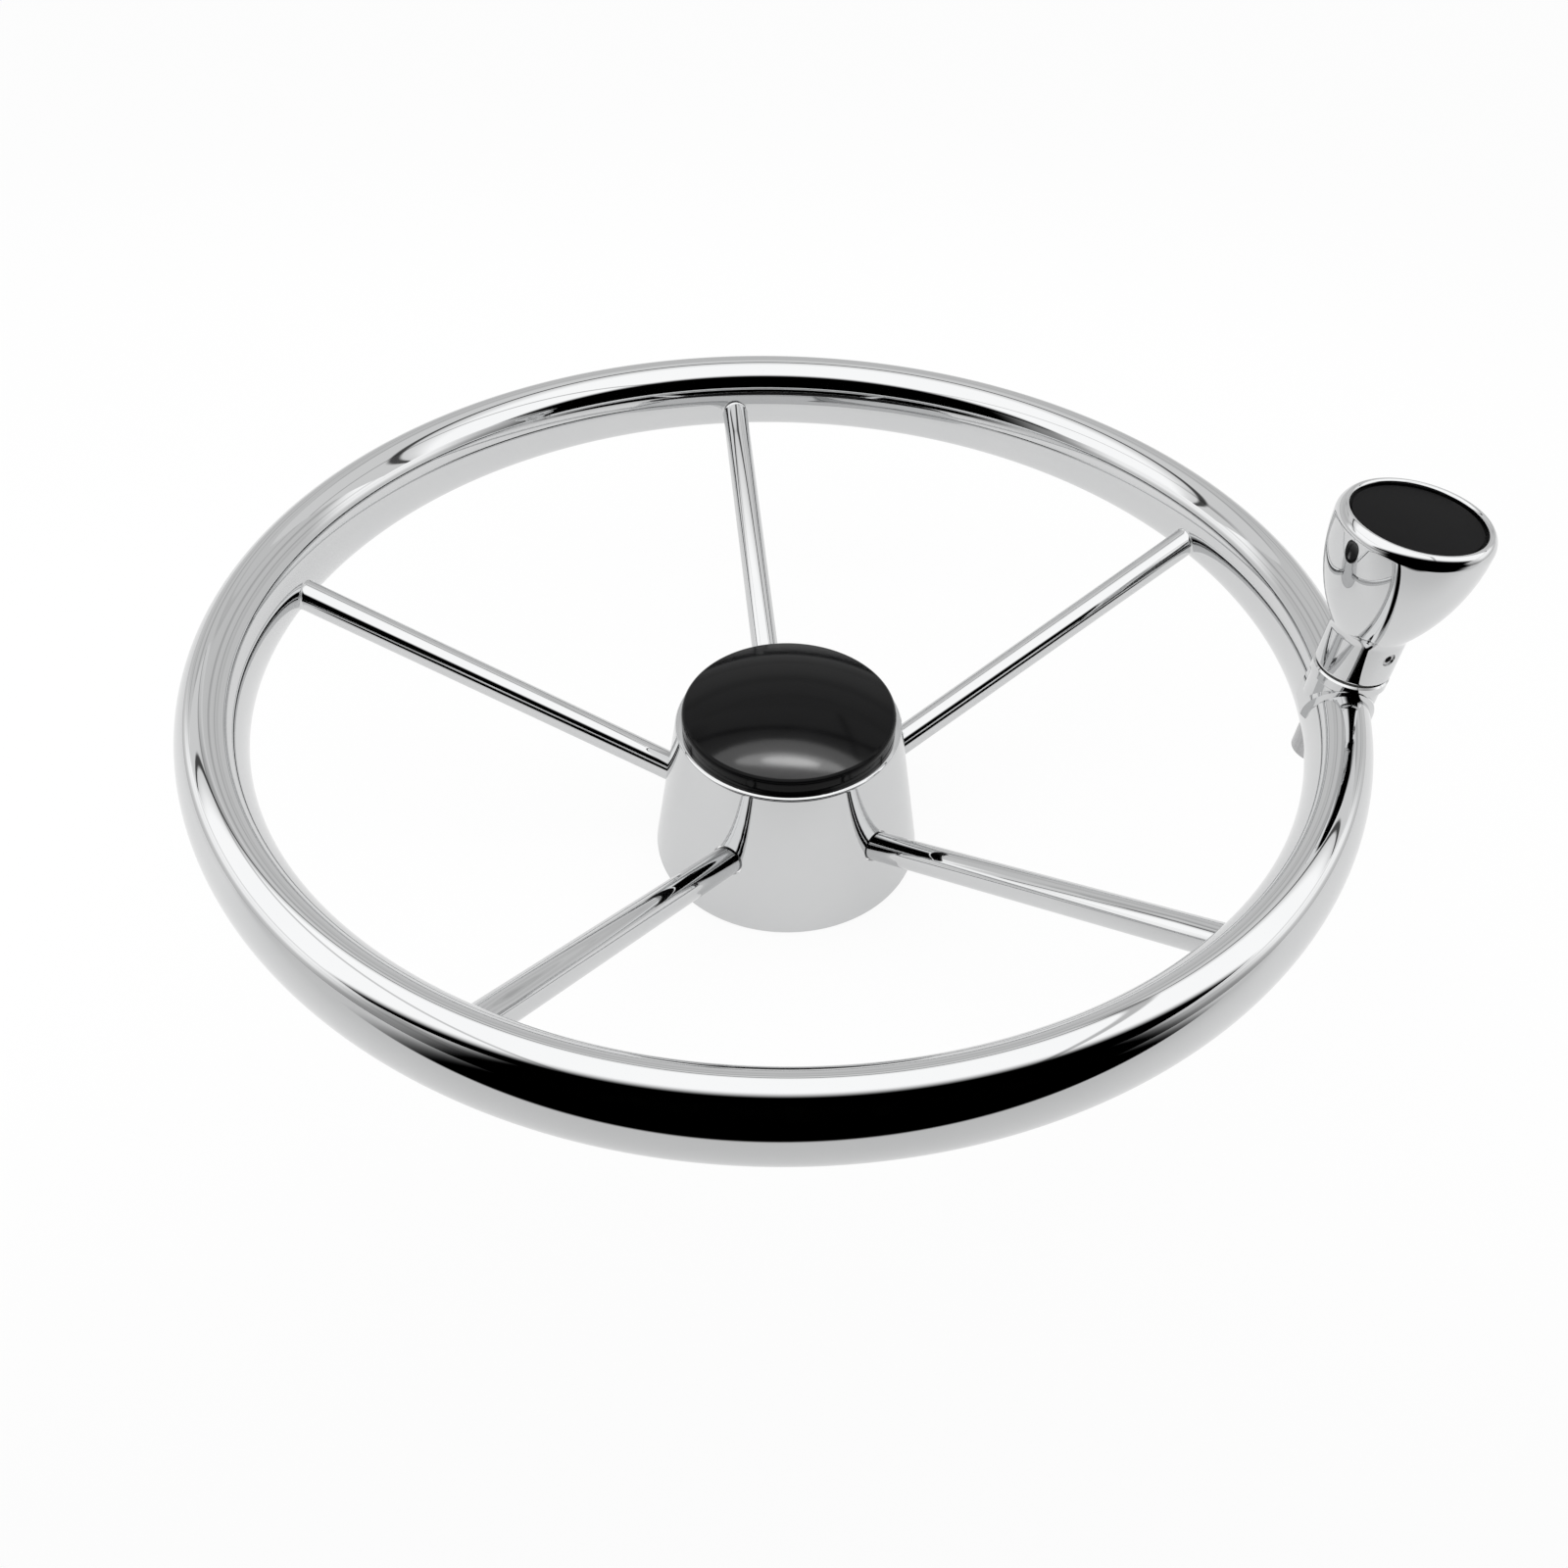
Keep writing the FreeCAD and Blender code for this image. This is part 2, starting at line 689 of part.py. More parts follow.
# Fastening through the rim: spacer sleeve, saddle washer and socket screw
sleeve_blank = cylinder("sleeve_blank", sleeve_radius, rim_half_height * 2, at_knob(-rim_half_height))
lower_half = cylinder("lower_half", sleeve_radius, rim_half_height * 2, at_knob(-rim_half_height * 2))
sleeve_in_hollow = common("sleeve_in_hollow", rim_hollow, sleeve_blank)
sleeve_in_wall = common("sleeve_in_wall", rim_skin, lower_half)
sleeve_bore = cylinder("sleeve_bore", screw_hole_radius, rim_half_height * 4, at_knob(-rim_half_height * 2))
keep("rim_sleeve", cut("rim_sleeve", fuse("sleeve_solid", sleeve_in_hollow, sleeve_in_wall), sleeve_bore))

saddle_radius = half("saddle_washer_diameter")
saddle_blank = cylinder("saddle_blank", saddle_radius, below_rim - rim_half_height / 2,
                        at_knob(-below_rim))
keep("saddle_washer", cut_all("saddle_washer", saddle_blank, [rim_skin, sleeve_bore]))

head_radius = half("screw_head_diameter")
head_floor = -below_rim - size["screw_head_height"]
screw_top = rim_half_height + size["screw_engagement"]
screw_blank = turned_body("screw_blank", [
    (ZERO, head_floor),
    (half("screw_head_land_diameter"), head_floor, size["screw_head_dome_radius"]),
    (head_radius, -below_rim - size["screw_head_edge"]),
    (head_radius, -below_rim),
    (screw_radius, -below_rim),
    (screw_radius, screw_top),
    (ZERO, screw_top),
], at_knob())
screw_socket = hexagon("screw_socket", size["screw_socket_flats"], size["screw_socket_depth"] * 2,
                       at_knob(head_floor - size["screw_socket_depth"]))
keep("fixing_screw", cut("fixing_screw", screw_blank, screw_socket))


# Bushes and thrust washer
running_radius = post_radius + size["bush_clearance"]
bush_radius = running_radius + size["bush_wall"]
flange_radius = half("bush_flange_diameter")
lower_bush_top = bore_floor + size["lower_bush_length"]
upper_bush_floor = web_top - size["upper_bush_length"]
flange_top = web_top + size["bush_flange_thickness"]

keep("thrust_washer", turned_body("thrust_washer", [
    (running_radius, base_top),
    (half("thrust_washer_diameter"), base_top),
    (half("thrust_washer_diameter"), base_top + size["thrust_washer_thickness"]),
    (running_radius, base_top + size["thrust_washer_thickness"]),
], at_knob()))
keep("lower_bush", turned_body("lower_bush", [
    (running_radius, lower_bush_floor),
    (flange_radius, lower_bush_floor),
    (flange_radius, bore_floor),
    (bush_radius, bore_floor),
    (bush_radius, lower_bush_top),
    (running_radius, lower_bush_top),
], at_knob()))
keep("upper_bush", turned_body("upper_bush", [
    (running_radius, upper_bush_floor),
    (bush_radius, upper_bush_floor),
    (bush_radius, web_top),
    (flange_radius, web_top),
    (flange_radius, flange_top),
    (running_radius, flange_top),
], at_knob()))


# Knob body: neck, blend and flare run into each other, then the rolled bead round the recess
knob_radius = half("knob_diameter")
neck_rounding = size["knob_neck_rounding"]
bead = size["knob_bead_radius"]
bead_level = knob_floor + size["knob_bead_height"]
blend = size["knob_blend_radius"]
flare = size["knob_flare_radius"]
centre_span = blend + flare
centre_offset = neck_radius + blend - knob_radius + flare
centre_drop = root(centre_span * centre_span - centre_offset * centre_offset)
blend_start = bead_level - centre_drop
blend_end_radius = knob_radius - flare + flare * centre_offset / centre_span
blend_end_level = bead_level - flare * centre_drop / centre_span
recess_radius = half("insert_diameter") + size["insert_edge_clearance"]
edge_break = size["recess_edge_break"]
bead_inner = recess_radius + edge_break
bead_reach = bead_inner - (knob_radius - bead)
bead_top = bead_level + root(bead * bead - bead_reach * bead_reach)
recess_floor = bead_top - edge_break * 2 - size["insert_thickness"]
plug_bore_radius = half("insert_plug_diameter") + size["insert_edge_clearance"]
well_radius = half("knob_well_diameter")
well_top = web_top + size["knob_well_depth"]
bush_seat_radius = bush_radius + size["bush_press_clearance"]
flange_seat_radius = flange_radius + size["flange_seat_clearance"]
knob_blank = turned_body("knob_blank", [
    (bush_seat_radius, bore_floor),
    (flange_seat_radius, bore_floor),
    (flange_seat_radius, knob_floor),
    (neck_radius - neck_rounding, knob_floor, neck_rounding),
    (neck_radius, knob_floor + neck_rounding),
    (neck_radius, blend_start, -blend),
    (blend_end_radius, blend_end_level, flare),
    (knob_radius, bead_level, bead),
    (bead_inner, bead_top),
    (recess_radius, bead_top - edge_break),
    (recess_radius, recess_floor),
    (plug_bore_radius, recess_floor),
    (plug_bore_radius, well_top),
    (well_radius, well_top),
    (well_radius, web_top),
    (bush_seat_radius, web_top),
], at_knob())
keep("knob_body", cut("knob_body", knob_blank, grub_hole))


# Knob insert: flat disc with a faint crown and a ring that plugs into the cup
insert_radius = half("insert_diameter")
plug_radius = half("insert_plug_diameter")
insert_face = recess_floor + size["insert_thickness"]
insert_crown = size["insert_crown"]
insert_bend = (insert_radius * insert_radius / insert_crown + insert_crown) / 2
keep("knob_insert", turned_body("knob_insert", [
    (ZERO, recess_floor),
    (plug_radius - size["insert_plug_wall"], recess_floor),
    (plug_radius - size["insert_plug_wall"], recess_floor - size["insert_plug_depth"]),
    (plug_radius, recess_floor - size["insert_plug_depth"]),
    (plug_radius, recess_floor),
    (insert_radius, recess_floor),
    (insert_radius, insert_face - insert_crown, insert_bend),
    (ZERO, insert_face),
], at_knob()))


document.recompute()


# Build, check and write every piece

def check_document():
    """Stop if any feature failed or any piece is missing or invalid."""
    problems = []
    for item in document.Objects:
        if "Invalid" in item.State or "Error" in item.State:
            problems.append("%s is in error" % item.Label)
    for label, feature in nodes.items():
        shape = feature.Shape
        if shape.isNull() or not shape.isValid() or shape.Volume <= 0:
            problems.append("%s has no valid solid" % label)
    if problems:
        raise RuntimeError("; ".join(problems))


check_document()
os.makedirs("parts", exist_ok=True)
for label, feature in nodes.items():
    feature.Shape.exportStep("parts/%s.step" % label)
    print("%-16s %2d solid  %9.1f mm3" % (label, len(feature.Shape.Solids), feature.Shape.Volume))
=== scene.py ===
import json
import math

import bmesh
import bpy
from mathutils import Matrix, Vector


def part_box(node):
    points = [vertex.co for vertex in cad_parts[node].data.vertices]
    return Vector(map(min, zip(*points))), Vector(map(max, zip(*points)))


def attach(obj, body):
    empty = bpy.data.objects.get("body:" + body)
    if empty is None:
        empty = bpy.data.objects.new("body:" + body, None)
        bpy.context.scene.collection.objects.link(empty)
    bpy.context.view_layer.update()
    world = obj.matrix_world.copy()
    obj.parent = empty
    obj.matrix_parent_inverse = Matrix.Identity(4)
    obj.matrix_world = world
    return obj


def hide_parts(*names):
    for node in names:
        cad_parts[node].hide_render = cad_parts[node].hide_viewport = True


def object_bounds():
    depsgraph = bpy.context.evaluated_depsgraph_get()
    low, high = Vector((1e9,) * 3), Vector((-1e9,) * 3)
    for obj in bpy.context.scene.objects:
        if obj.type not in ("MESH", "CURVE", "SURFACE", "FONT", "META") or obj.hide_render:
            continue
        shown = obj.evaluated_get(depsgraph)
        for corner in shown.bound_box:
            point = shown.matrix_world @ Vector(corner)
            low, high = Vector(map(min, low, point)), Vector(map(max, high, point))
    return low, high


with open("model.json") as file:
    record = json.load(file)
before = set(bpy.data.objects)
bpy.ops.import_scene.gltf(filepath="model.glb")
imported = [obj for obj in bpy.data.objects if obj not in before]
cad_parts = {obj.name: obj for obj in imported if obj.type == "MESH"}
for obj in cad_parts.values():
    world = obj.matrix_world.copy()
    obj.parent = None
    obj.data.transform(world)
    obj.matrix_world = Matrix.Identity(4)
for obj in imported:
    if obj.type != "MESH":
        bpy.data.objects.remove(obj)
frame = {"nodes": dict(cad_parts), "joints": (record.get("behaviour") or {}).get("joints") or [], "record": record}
cad_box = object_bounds()

# Boat steering wheel: smooth meshes for its polished pieces, the finish of every surface, and the studio.
# Blender's unit is the metre. Sizes are written in millimetres and multiplied by MM.
MM = 0.001

# Camera: the photograph's viewing angle and framing. Lens and sensor stay in millimetres
CAMERA_PLACE = Vector((-46.77, -299.96, 320.45)) * MM
CAMERA_FORWARD = Vector((0.16420, 0.71067, -0.68410))
CAMERA_RIGHT = Vector((0.98273, -0.17784, 0.05114))
CAMERA_LENS = 28.76
CAMERA_SENSOR = 36.0
CAMERA_SHIFT = (-0.0450, -0.0140)
HEADING = math.atan2(CAMERA_FORWARD.y, CAMERA_FORWARD.x)

# Roof over the wheel. A fade has its start and end; a seam has its place, half width and depth,
# after its slant where it runs to the back
ROOF_HEIGHT = 402.0 * MM
ROOF_FRONT = -560.0 * MM
ROOF_BACK = 312.0 * MM
ROOF_WIDTH = 1800.0 * MM
ROOF_LEVEL = 1.40
ROOF_BACK_LEVEL = 0.86
ROOF_FRONT_FADE = (-370.0 * MM, -235.0 * MM)
ROOF_FRONT_SLANT = -0.15
ROOF_BACK_FADE = (95.0 * MM, 200.0 * MM)
ROOF_SEAM = (198.0 * MM, 15.0 * MM, 0.90)
ROOF_SIDE_SEAMS = (
    (0.30, (204.0 * MM, 15.0 * MM, 0.50)),
    (0.22, (-289.0 * MM, 18.0 * MM, 0.40)),
)
ROOF_SEAM_CORE = 0.35
ROOF_SPOT_CENTRE = Vector((-300.0, 225.0, 0.0)) * MM
ROOF_SPOT_RADIUS = 95.0 * MM
ROOF_SPOT_DEPTH = 0.45

# Tent round the wheel. Its edges are given in parts of a direction, from 0 to 1
BACKDROP_LEVEL = 1.0
TENT_LEVEL = 0.74
TENT_SIDE_LEVEL = 1.40
TENT_SIDE_EDGE = (0.35, 0.60)
TENT_SIDE_FOOT = (0.04, 0.22)
TENT_FOLD_SCALE = 11.0
TENT_FOLD_DETAIL = 3.0
TENT_FOLD_EDGE = (0.36, 0.52)
TENT_FOLD_LEVEL = 0.72
OPENING_TURN = 0.15
OPENING_TAPER = 0.18
OPENING_EDGE = (0.40, 0.60)
OPENING_TOP = (0.90, 0.97)
OPENING_DIM_EDGE = (0.05, 0.42)
OPENING_DIM_TOP = (0.20, 0.45)
OPENING_DIM_SHADE = 0.55
NEAR_ZERO = 1e-6

# Floor. Its front half is duller, painted shade in place of less light falling there, and it ends in the dark of
# the tent's opening
FLOOR_RADIUS = 6000.0 * MM
FLOOR_ROUGHNESS = 0.9
FLOOR_ALBEDO = 0.74
FLOOR_FRONT_SHADED_ALBEDO = 0.60
FLOOR_FRONT_FADE = (80.0 * MM, 260.0 * MM)
FLOOR_END_EDGE = (0.42, 0.70)
FLOOR_END_FADE = (281.3 * MM, 298.7 * MM)
FLOOR_SEEN_FADE = (200.0 * MM, 900.0 * MM)
FLOOR_SEEN_LEVEL = (1.05, 1.03)
FLOOR_SEEN_SHARE = 0.86
# Painted light: a glow that gloss sees on the floor, brighter near the wheel than at the front, which lightens the
# floor and the wheel's shadow in reflections
FLOOR_GLOSS_LEVEL = (1.17, 0.97)
FLOOR_GLOSS_SHARE = 0.50

# Lamps for the sheen on the hub's cap: place ahead of the hub, length, depth and radiance
CAP_LAMPS = {
    "cap_core": (77.0 * MM, 140.0 * MM, 26.0 * MM, 48.0),
    "cap_strip": (79.0 * MM, 270.0 * MM, 46.0 * MM, 20.0),
    "cap_fill": (84.0 * MM, 440.0 * MM, 130.0 * MM, 6.0),
}
CAP_LAMP_GAP = 1.0 * MM

# Rings on machined steel. Blender's wave texture turns by WAVE_PHASE radians over one unit at scale 1
RING_PITCH = 0.691 * MM
WAVE_PHASE = 20.0

# Mesh fineness
TURN_STEPS = 288
RIM_STEPS = 480
RIM_SECTION_STEPS = 96
SPOKE_STEPS = 96
BAR_RINGS = 12
WELD_RINGS = 6
TOOL_STEPS = 96
FLOOR_STEPS = 96
ARC_STEP = math.radians(4.0)
SHARP_ANGLE = math.radians(24.0)
SUPPORT_GAP = 0.12 * MM
SHORTEST_SUPPORTED_RUN = SUPPORT_GAP * 4
ON_AXIS = 0.0001 * MM
HALVINGS = 40

# Rim and spokes: sizes that a node's box doesn't show
RIM_WIDTH = 17.4 * MM
SPOKE_COUNT = 5
SPOKE_DROP_AT_RIM = 2.05 * MM
SPOKE_AXIS_LEVEL = 6.145 * MM
SPOKE_HOLE_CLEARANCE = 0.45 * MM
BOSS_RADIUS = 19.0 * MM
WELD_LEG = 0.9 * MM

# Hub shell
HUB_BASE_RADIUS = 45.1 * MM
HUB_TOP_RADIUS = 36.9 * MM
HUB_WALL = 2.0 * MM
HUB_FOOT_ROUNDING = 1.0 * MM
HUB_TOP_ROUNDING = 3.0 * MM
HUB_LIP_ROUNDING = 1.3 * MM
HUB_LIP_WIDTH = 2.4 * MM
HUB_LEDGE_WIDTH = 2.1 * MM
HUB_FLANGE = 1.6 * MM

# Hub cap, with a split skirt that snaps into the shell
CAP_SEAT_DEPTH = 0.8 * MM
CAP_CLEARANCE = 0.1 * MM
CAP_EDGE_HEIGHT = 3.5 * MM
CAP_ROUNDING = 2.0 * MM
CAP_CROWN_RADIUS = 105.0 * MM
CAP_WALL = 2.0 * MM
SKIRT_CLEARANCE = 0.25 * MM
SKIRT_WALL = 1.6 * MM
SKIRT_DEPTH = 7.0 * MM
SKIRT_BARB = 0.9 * MM
FINGER_GAP = 3.0 * MM
FINGER_COUNT = 8

# Knob body. Levels are counted along its axis, from its joint
KNOB_FLOOR = 17.0 * MM
KNOB_RADIUS = 20.75 * MM
KNOB_NECK_RADIUS = 10.7 * MM
KNOB_NECK_ROUNDING = 1.0 * MM
KNOB_BLEND = 5.0 * MM
KNOB_FLARE = 55.0 * MM
KNOB_BEAD = 4.4 * MM
KNOB_BEAD_HEIGHT = 45.96 * MM
KNOB_ROLL_RADIUS = 19.2 * MM
KNOB_ROLL_BEND = 0.92 * MM
KNOB_ROLL_DROP = 0.35 * MM
KNOB_WEB = 28.0 * MM
KNOB_WELL_RADIUS = 12.0 * MM
KNOB_WELL_DEPTH = 12.0 * MM
RECESS_RADIUS = 17.75 * MM
BUSH_SEAT_RADIUS = 6.57 * MM
FLANGE_SEAT_RADIUS = 8.8 * MM
BORE_FLOOR = 18.45 * MM
GRUB_HEIGHT = 9.5 * MM
GRUB_AZIMUTH = math.radians(-60.0)
GRUB_RADIUS = 2.0 * MM
GRUB_HOLE_START = BUSH_SEAT_RADIUS * 0.8

# Knob insert: a disc on a plug ring, with a groove round its face
INSERT_RADIUS = 17.7 * MM
INSERT_THICKNESS = 2.5 * MM
INSERT_SINK = 0.3 * MM
INSERT_CROWN = 0.3 * MM
INSERT_EDGE_BREAK = 0.25 * MM
INSERT_GROOVE_WIDTH = 0.7 * MM
INSERT_GROOVE_DEPTH = 0.9 * MM
PLUG_RADIUS = 16.0 * MM
PLUG_WALL = 1.5 * MM
PLUG_DEPTH = 5.0 * MM

# Nodes that keep their CAD mesh and get the machined finish
MACHINED_NODES = ("hub_boss", "hub_plate", "shaft_washer", "shaft_nut", "rim_sleeve", "saddle_washer",
                  "fixing_screw", "knob_grub_screw")


# Shading

class Shading:
    """Node tree of a material or world, emptied, with a short method for each thing it needs."""

    def __init__(self, owner, output="ShaderNodeOutputMaterial"):
        owner.use_nodes = True
        self.tree = owner.node_tree
        self.tree.nodes.clear()
        self.output = self.node(output)

    def node(self, kind, **settings):
        node = self.tree.nodes.new(kind)
        for name, value in settings.items():
            setattr(node, name, value)
        return node

    def feed(self, value, socket):
        """Link a node's output to a socket, or set a plain value there."""
        if isinstance(value, bpy.types.NodeSocket):
            self.tree.links.new(value, socket)
        else:
            socket.default_value = value

    def show(self, shader):
        """Make a shader the surface."""
        self.feed(shader, self.output.inputs["Surface"])

    def coordinates(self, kind):
        return self.node("ShaderNodeTexCoord").outputs[kind]

    def ray(self, kind):
        """1 for one kind of light ray and 0 for the others."""
        return self.node("ShaderNodeLightPath").outputs[kind]

    def calculate(self, operation, *values):
        node = self.node("ShaderNodeMath", operation=operation)
        for value, socket in zip(values, node.inputs):
            self.feed(value, socket)
        return node.outputs[0]

    def times(self, first, second):
        return self.calculate("MULTIPLY", first, second)

    def plus(self, first, second):
        return self.calculate("ADD", first, second)

    def minus(self, first, second):
        return self.calculate("SUBTRACT", first, second)

    def step(self, value, low, high):
        """0 below low, 1 above high, smooth between."""
        node = self.node("ShaderNodeMapRange", interpolation_type="SMOOTHSTEP")
        self.feed(value, node.inputs["Value"])
        node.inputs["From Min"].default_value = low
        node.inputs["From Max"].default_value = high
        return node.outputs["Result"]

    def spread(self, value, low, high):
        """From low to high as a value goes from 0 to 1."""
        node = self.node("ShaderNodeMapRange")
        self.feed(value, node.inputs["Value"])
        node.inputs["To Min"].default_value = low
        node.inputs["To Max"].default_value = high
        return node.outputs["Result"]

    def length(self, vector):
        node = self.node("ShaderNodeVectorMath", operation="LENGTH")
        self.feed(vector, node.inputs[0])
        return node.outputs["Value"]

    def distance(self, vector, point):
        node = self.node("ShaderNodeVectorMath", operation="DISTANCE")
        self.feed(vector, node.inputs[0])
        self.feed(point, node.inputs[1])
        return node.outputs["Value"]

    def parts(self, vector):
        """X, Y and Z of a vector."""
        node = self.node("ShaderNodeSeparateXYZ")
        self.feed(vector, node.inputs[0])
        return tuple(node.outputs)

    def emission(self, strength):
        """White light."""
        node = self.node("ShaderNodeEmission")
        self.feed(strength, node.inputs["Strength"])
        return node.outputs[0]

    def background(self, strength):
        """White light from all round."""
        node = self.node("ShaderNodeBackground")
        self.feed((1.0, 1.0, 1.0, 1.0), node.inputs["Color"])
        self.feed(strength, node.inputs["Strength"])
        return node.outputs[0]

    def blend(self, share, first, second):
        """Mix of two shaders, by the share of the second."""
        node = self.node("ShaderNodeMixShader")
        for value, socket in zip((share, first, second), node.inputs):
            self.feed(value, socket)
        return node.outputs[0]


class Finish(Shading):
    """Material with a Principled shader, varied by noise in object coordinates."""

    def __init__(self, name, color, metallic=0.0, specular=0.5):
        self.material = bpy.data.materials.new(name)
        super().__init__(self.material)
        self.place = self.coordinates("Object")
        self.shader = self.node("ShaderNodeBsdfPrincipled")
        self.shader.inputs["Base Color"].default_value = (*color, 1.0)
        self.shader.inputs["Metallic"].default_value = metallic
        self.shader.inputs["Specular IOR Level"].default_value = specular
        self.show(self.shader.outputs[0])

    def noise(self, cell, detail=2.0):
        """Noise whose cells are about one cell size across."""
        node = self.node("ShaderNodeTexNoise")
        self.feed(self.place, node.inputs["Vector"])
        node.inputs["Scale"].default_value = 1.0 / cell
        node.inputs["Detail"].default_value = detail
        return node.outputs["Fac"]

    def tint(self, value, first, second):
        """Base colour between two colours."""
        node = self.node("ShaderNodeMix", data_type="RGBA")
        self.feed(value, node.inputs["Factor"])
        node.inputs["A"].default_value = (*first, 1.0)
        node.inputs["B"].default_value = (*second, 1.0)
        self.feed(node.outputs["Result"], self.shader.inputs["Base Color"])

    def roughen(self, value, low, high):
        """Roughness between two values."""
        self.feed(self.spread(value, low, high), self.shader.inputs["Roughness"])

    def emboss(self, height, depth):
        """Relief of the given depth."""
        node = self.node("ShaderNodeBump")
        node.inputs["Strength"].default_value = 1.0
        node.inputs["Distance"].default_value = depth
        self.feed(height, node.inputs["Height"])
        self.feed(node.outputs[0], self.shader.inputs["Normal"])


def heading_parts(shading, vector):
    """Parts of a vector ahead along the camera's heading, to its right, and up."""
    turn = shading.node("ShaderNodeVectorRotate", rotation_type="Z_AXIS")
    turn.inputs["Angle"].default_value = math.pi / 2 - HEADING
    shading.feed(vector, turn.inputs["Vector"])
    aside, ahead, up = shading.parts(turn.outputs[0])
    return ahead, aside, up


def level_shares(shading, ahead, aside):
    """Parts of a level direction ahead and to the right, from -1 to 1."""
    square = shading.plus(shading.times(ahead, ahead), shading.times(aside, aside))
    flat = shading.calculate("SQRT", shading.plus(square, NEAR_ZERO))
    return shading.calculate("DIVIDE", ahead, flat), shading.calculate("DIVIDE", aside, flat)


def towards_opening(shading, ahead, aside):
    """Part of a level direction that points at the camera, and a little to the right of it."""
    return shading.minus(shading.times(aside, OPENING_TURN), ahead)


def opening_share(shading, towards, low, high):
    """How far a place or direction lies in the tent's opening, which only gloss shows."""
    return shading.times(shading.step(towards, low, high), shading.ray("Is Glossy Ray"))


def slanted(shading, place, across, slant):
    """Place counted at a slant to the other direction."""
    return shading.plus(place, shading.times(across, slant))


def seam(shading, place, centre, half_width, depth):
    """1 away from a seam, and less by its depth in the middle of it."""
    off = shading.calculate("ABSOLUTE", shading.minus(place, centre))
    return shading.spread(shading.step(off, half_width * ROOF_SEAM_CORE, half_width), 1.0 - depth, 1.0)


# Camera

def make_camera():
    data = bpy.data.cameras.new("camera")
    data.lens = CAMERA_LENS
    data.sensor_width = CAMERA_SENSOR
    data.shift_x, data.shift_y = CAMERA_SHIFT
    camera = bpy.data.objects.new("camera", data)
    forward = CAMERA_FORWARD.normalized()
    right = (CAMERA_RIGHT - forward * CAMERA_RIGHT.dot(forward)).normalized()
    up = right.cross(forward)
    turn = Matrix((right, up, -forward)).transposed().to_4x4()
    camera.matrix_world = Matrix.Translation(CAMERA_PLACE) @ turn
    bpy.context.scene.collection.objects.link(camera)
    bpy.context.scene.camera = camera


# Studio: a light tent with an opening towards the camera, a light roof and a paper floor

def tent_level(shading, ahead, up):
    """Light of the tent's cloth: brighter at the two sides, duller in its level folds."""
    side = shading.minus(1.0, shading.step(shading.calculate("ABSOLUTE", ahead), *TENT_SIDE_EDGE))
    side = shading.times(side, shading.step(up, *TENT_SIDE_FOOT))
    folds = shading.node("ShaderNodeTexNoise", noise_dimensions="1D")
    shading.feed(up, folds.inputs["W"])
    folds.inputs["Scale"].default_value = TENT_FOLD_SCALE
    folds.inputs["Detail"].default_value = TENT_FOLD_DETAIL
    fold = shading.step(folds.outputs["Fac"], *TENT_FOLD_EDGE)
    return shading.times(shading.spread(side, TENT_LEVEL, TENT_SIDE_LEVEL),
                         shading.spread(fold, TENT_FOLD_LEVEL, 1.0))


def opening_shades(shading, towards, up):
    """The dark in the tent's opening, and the dim cloth round its lower part."""
    dark = shading.times(opening_share(shading, towards, *OPENING_EDGE),
                         shading.minus(1.0, shading.step(up, *OPENING_TOP)))
    dim = shading.times(opening_share(shading, towards, *OPENING_DIM_EDGE),
                        shading.spread(shading.step(up, *OPENING_DIM_TOP), OPENING_DIM_SHADE, 0.0))
    return dark, dim


def make_world():
    world = bpy.data.worlds.new("tent")
    bpy.context.scene.world = world
    shading = Shading(world, "ShaderNodeOutputWorld")
    far_ahead, far_aside, up = heading_parts(shading, shading.coordinates("Generated"))
    ahead, aside = level_shares(shading, far_ahead, far_aside)
    taper = shading.times(shading.calculate("MAXIMUM", up, 0.0), -OPENING_TAPER)
    towards = shading.plus(taper, towards_opening(shading, ahead, aside))
    level = tent_level(shading, ahead, up)
    for shade in opening_shades(shading, towards, up):
        level = shading.times(shading.minus(1.0, shade), level)
    shading.show(shading.blend(shading.ray("Is Camera Ray"), shading.background(level),
                               shading.background(BACKDROP_LEVEL)))


def roof_material():
    """Light cloth: bright over the wheel, softer to the back and the front, with seams and a dull spot."""
    material = bpy.data.materials.new("roof")
    shading = Shading(material)
    place = shading.coordinates("Object")
    aside, ahead, _ = shading.parts(place)
    level = shading.spread(shading.step(ahead, *ROOF_BACK_FADE), ROOF_LEVEL, ROOF_BACK_LEVEL)
    front = shading.step(slanted(shading, ahead, aside, ROOF_FRONT_SLANT), *ROOF_FRONT_FADE)
    shades = [front, seam(shading, ahead, *ROOF_SEAM)]
    for slant, sizes in ROOF_SIDE_SEAMS:
        shades.append(seam(shading, slanted(shading, aside, ahead, slant), *sizes))
    spot = shading.step(shading.distance(place, ROOF_SPOT_CENTRE), 0.0, ROOF_SPOT_RADIUS)
    shades.append(shading.spread(spot, 1.0 - ROOF_SPOT_DEPTH, 1.0))
    for shade in shades:
        level = shading.times(level, shade)
    shading.show(shading.emission(level))
    return material


def make_roof():
    shape = bmesh.new()
    left, right = -ROOF_WIDTH / 2, ROOF_WIDTH / 2
    corners = ((left, ROOF_FRONT), (left, ROOF_BACK), (right, ROOF_BACK), (right, ROOF_FRONT))
    shape.faces.new([shape.verts.new((aside, ahead, 0.0)) for aside, ahead in corners])
    roof = link_piece("roof", shape)
    roof.data.materials.append(roof_material())
    roof.location = (0.0, 0.0, ROOF_HEIGHT)
    roof.rotation_euler = (0.0, 0.0, HEADING - math.pi / 2)
    roof.visible_camera = False


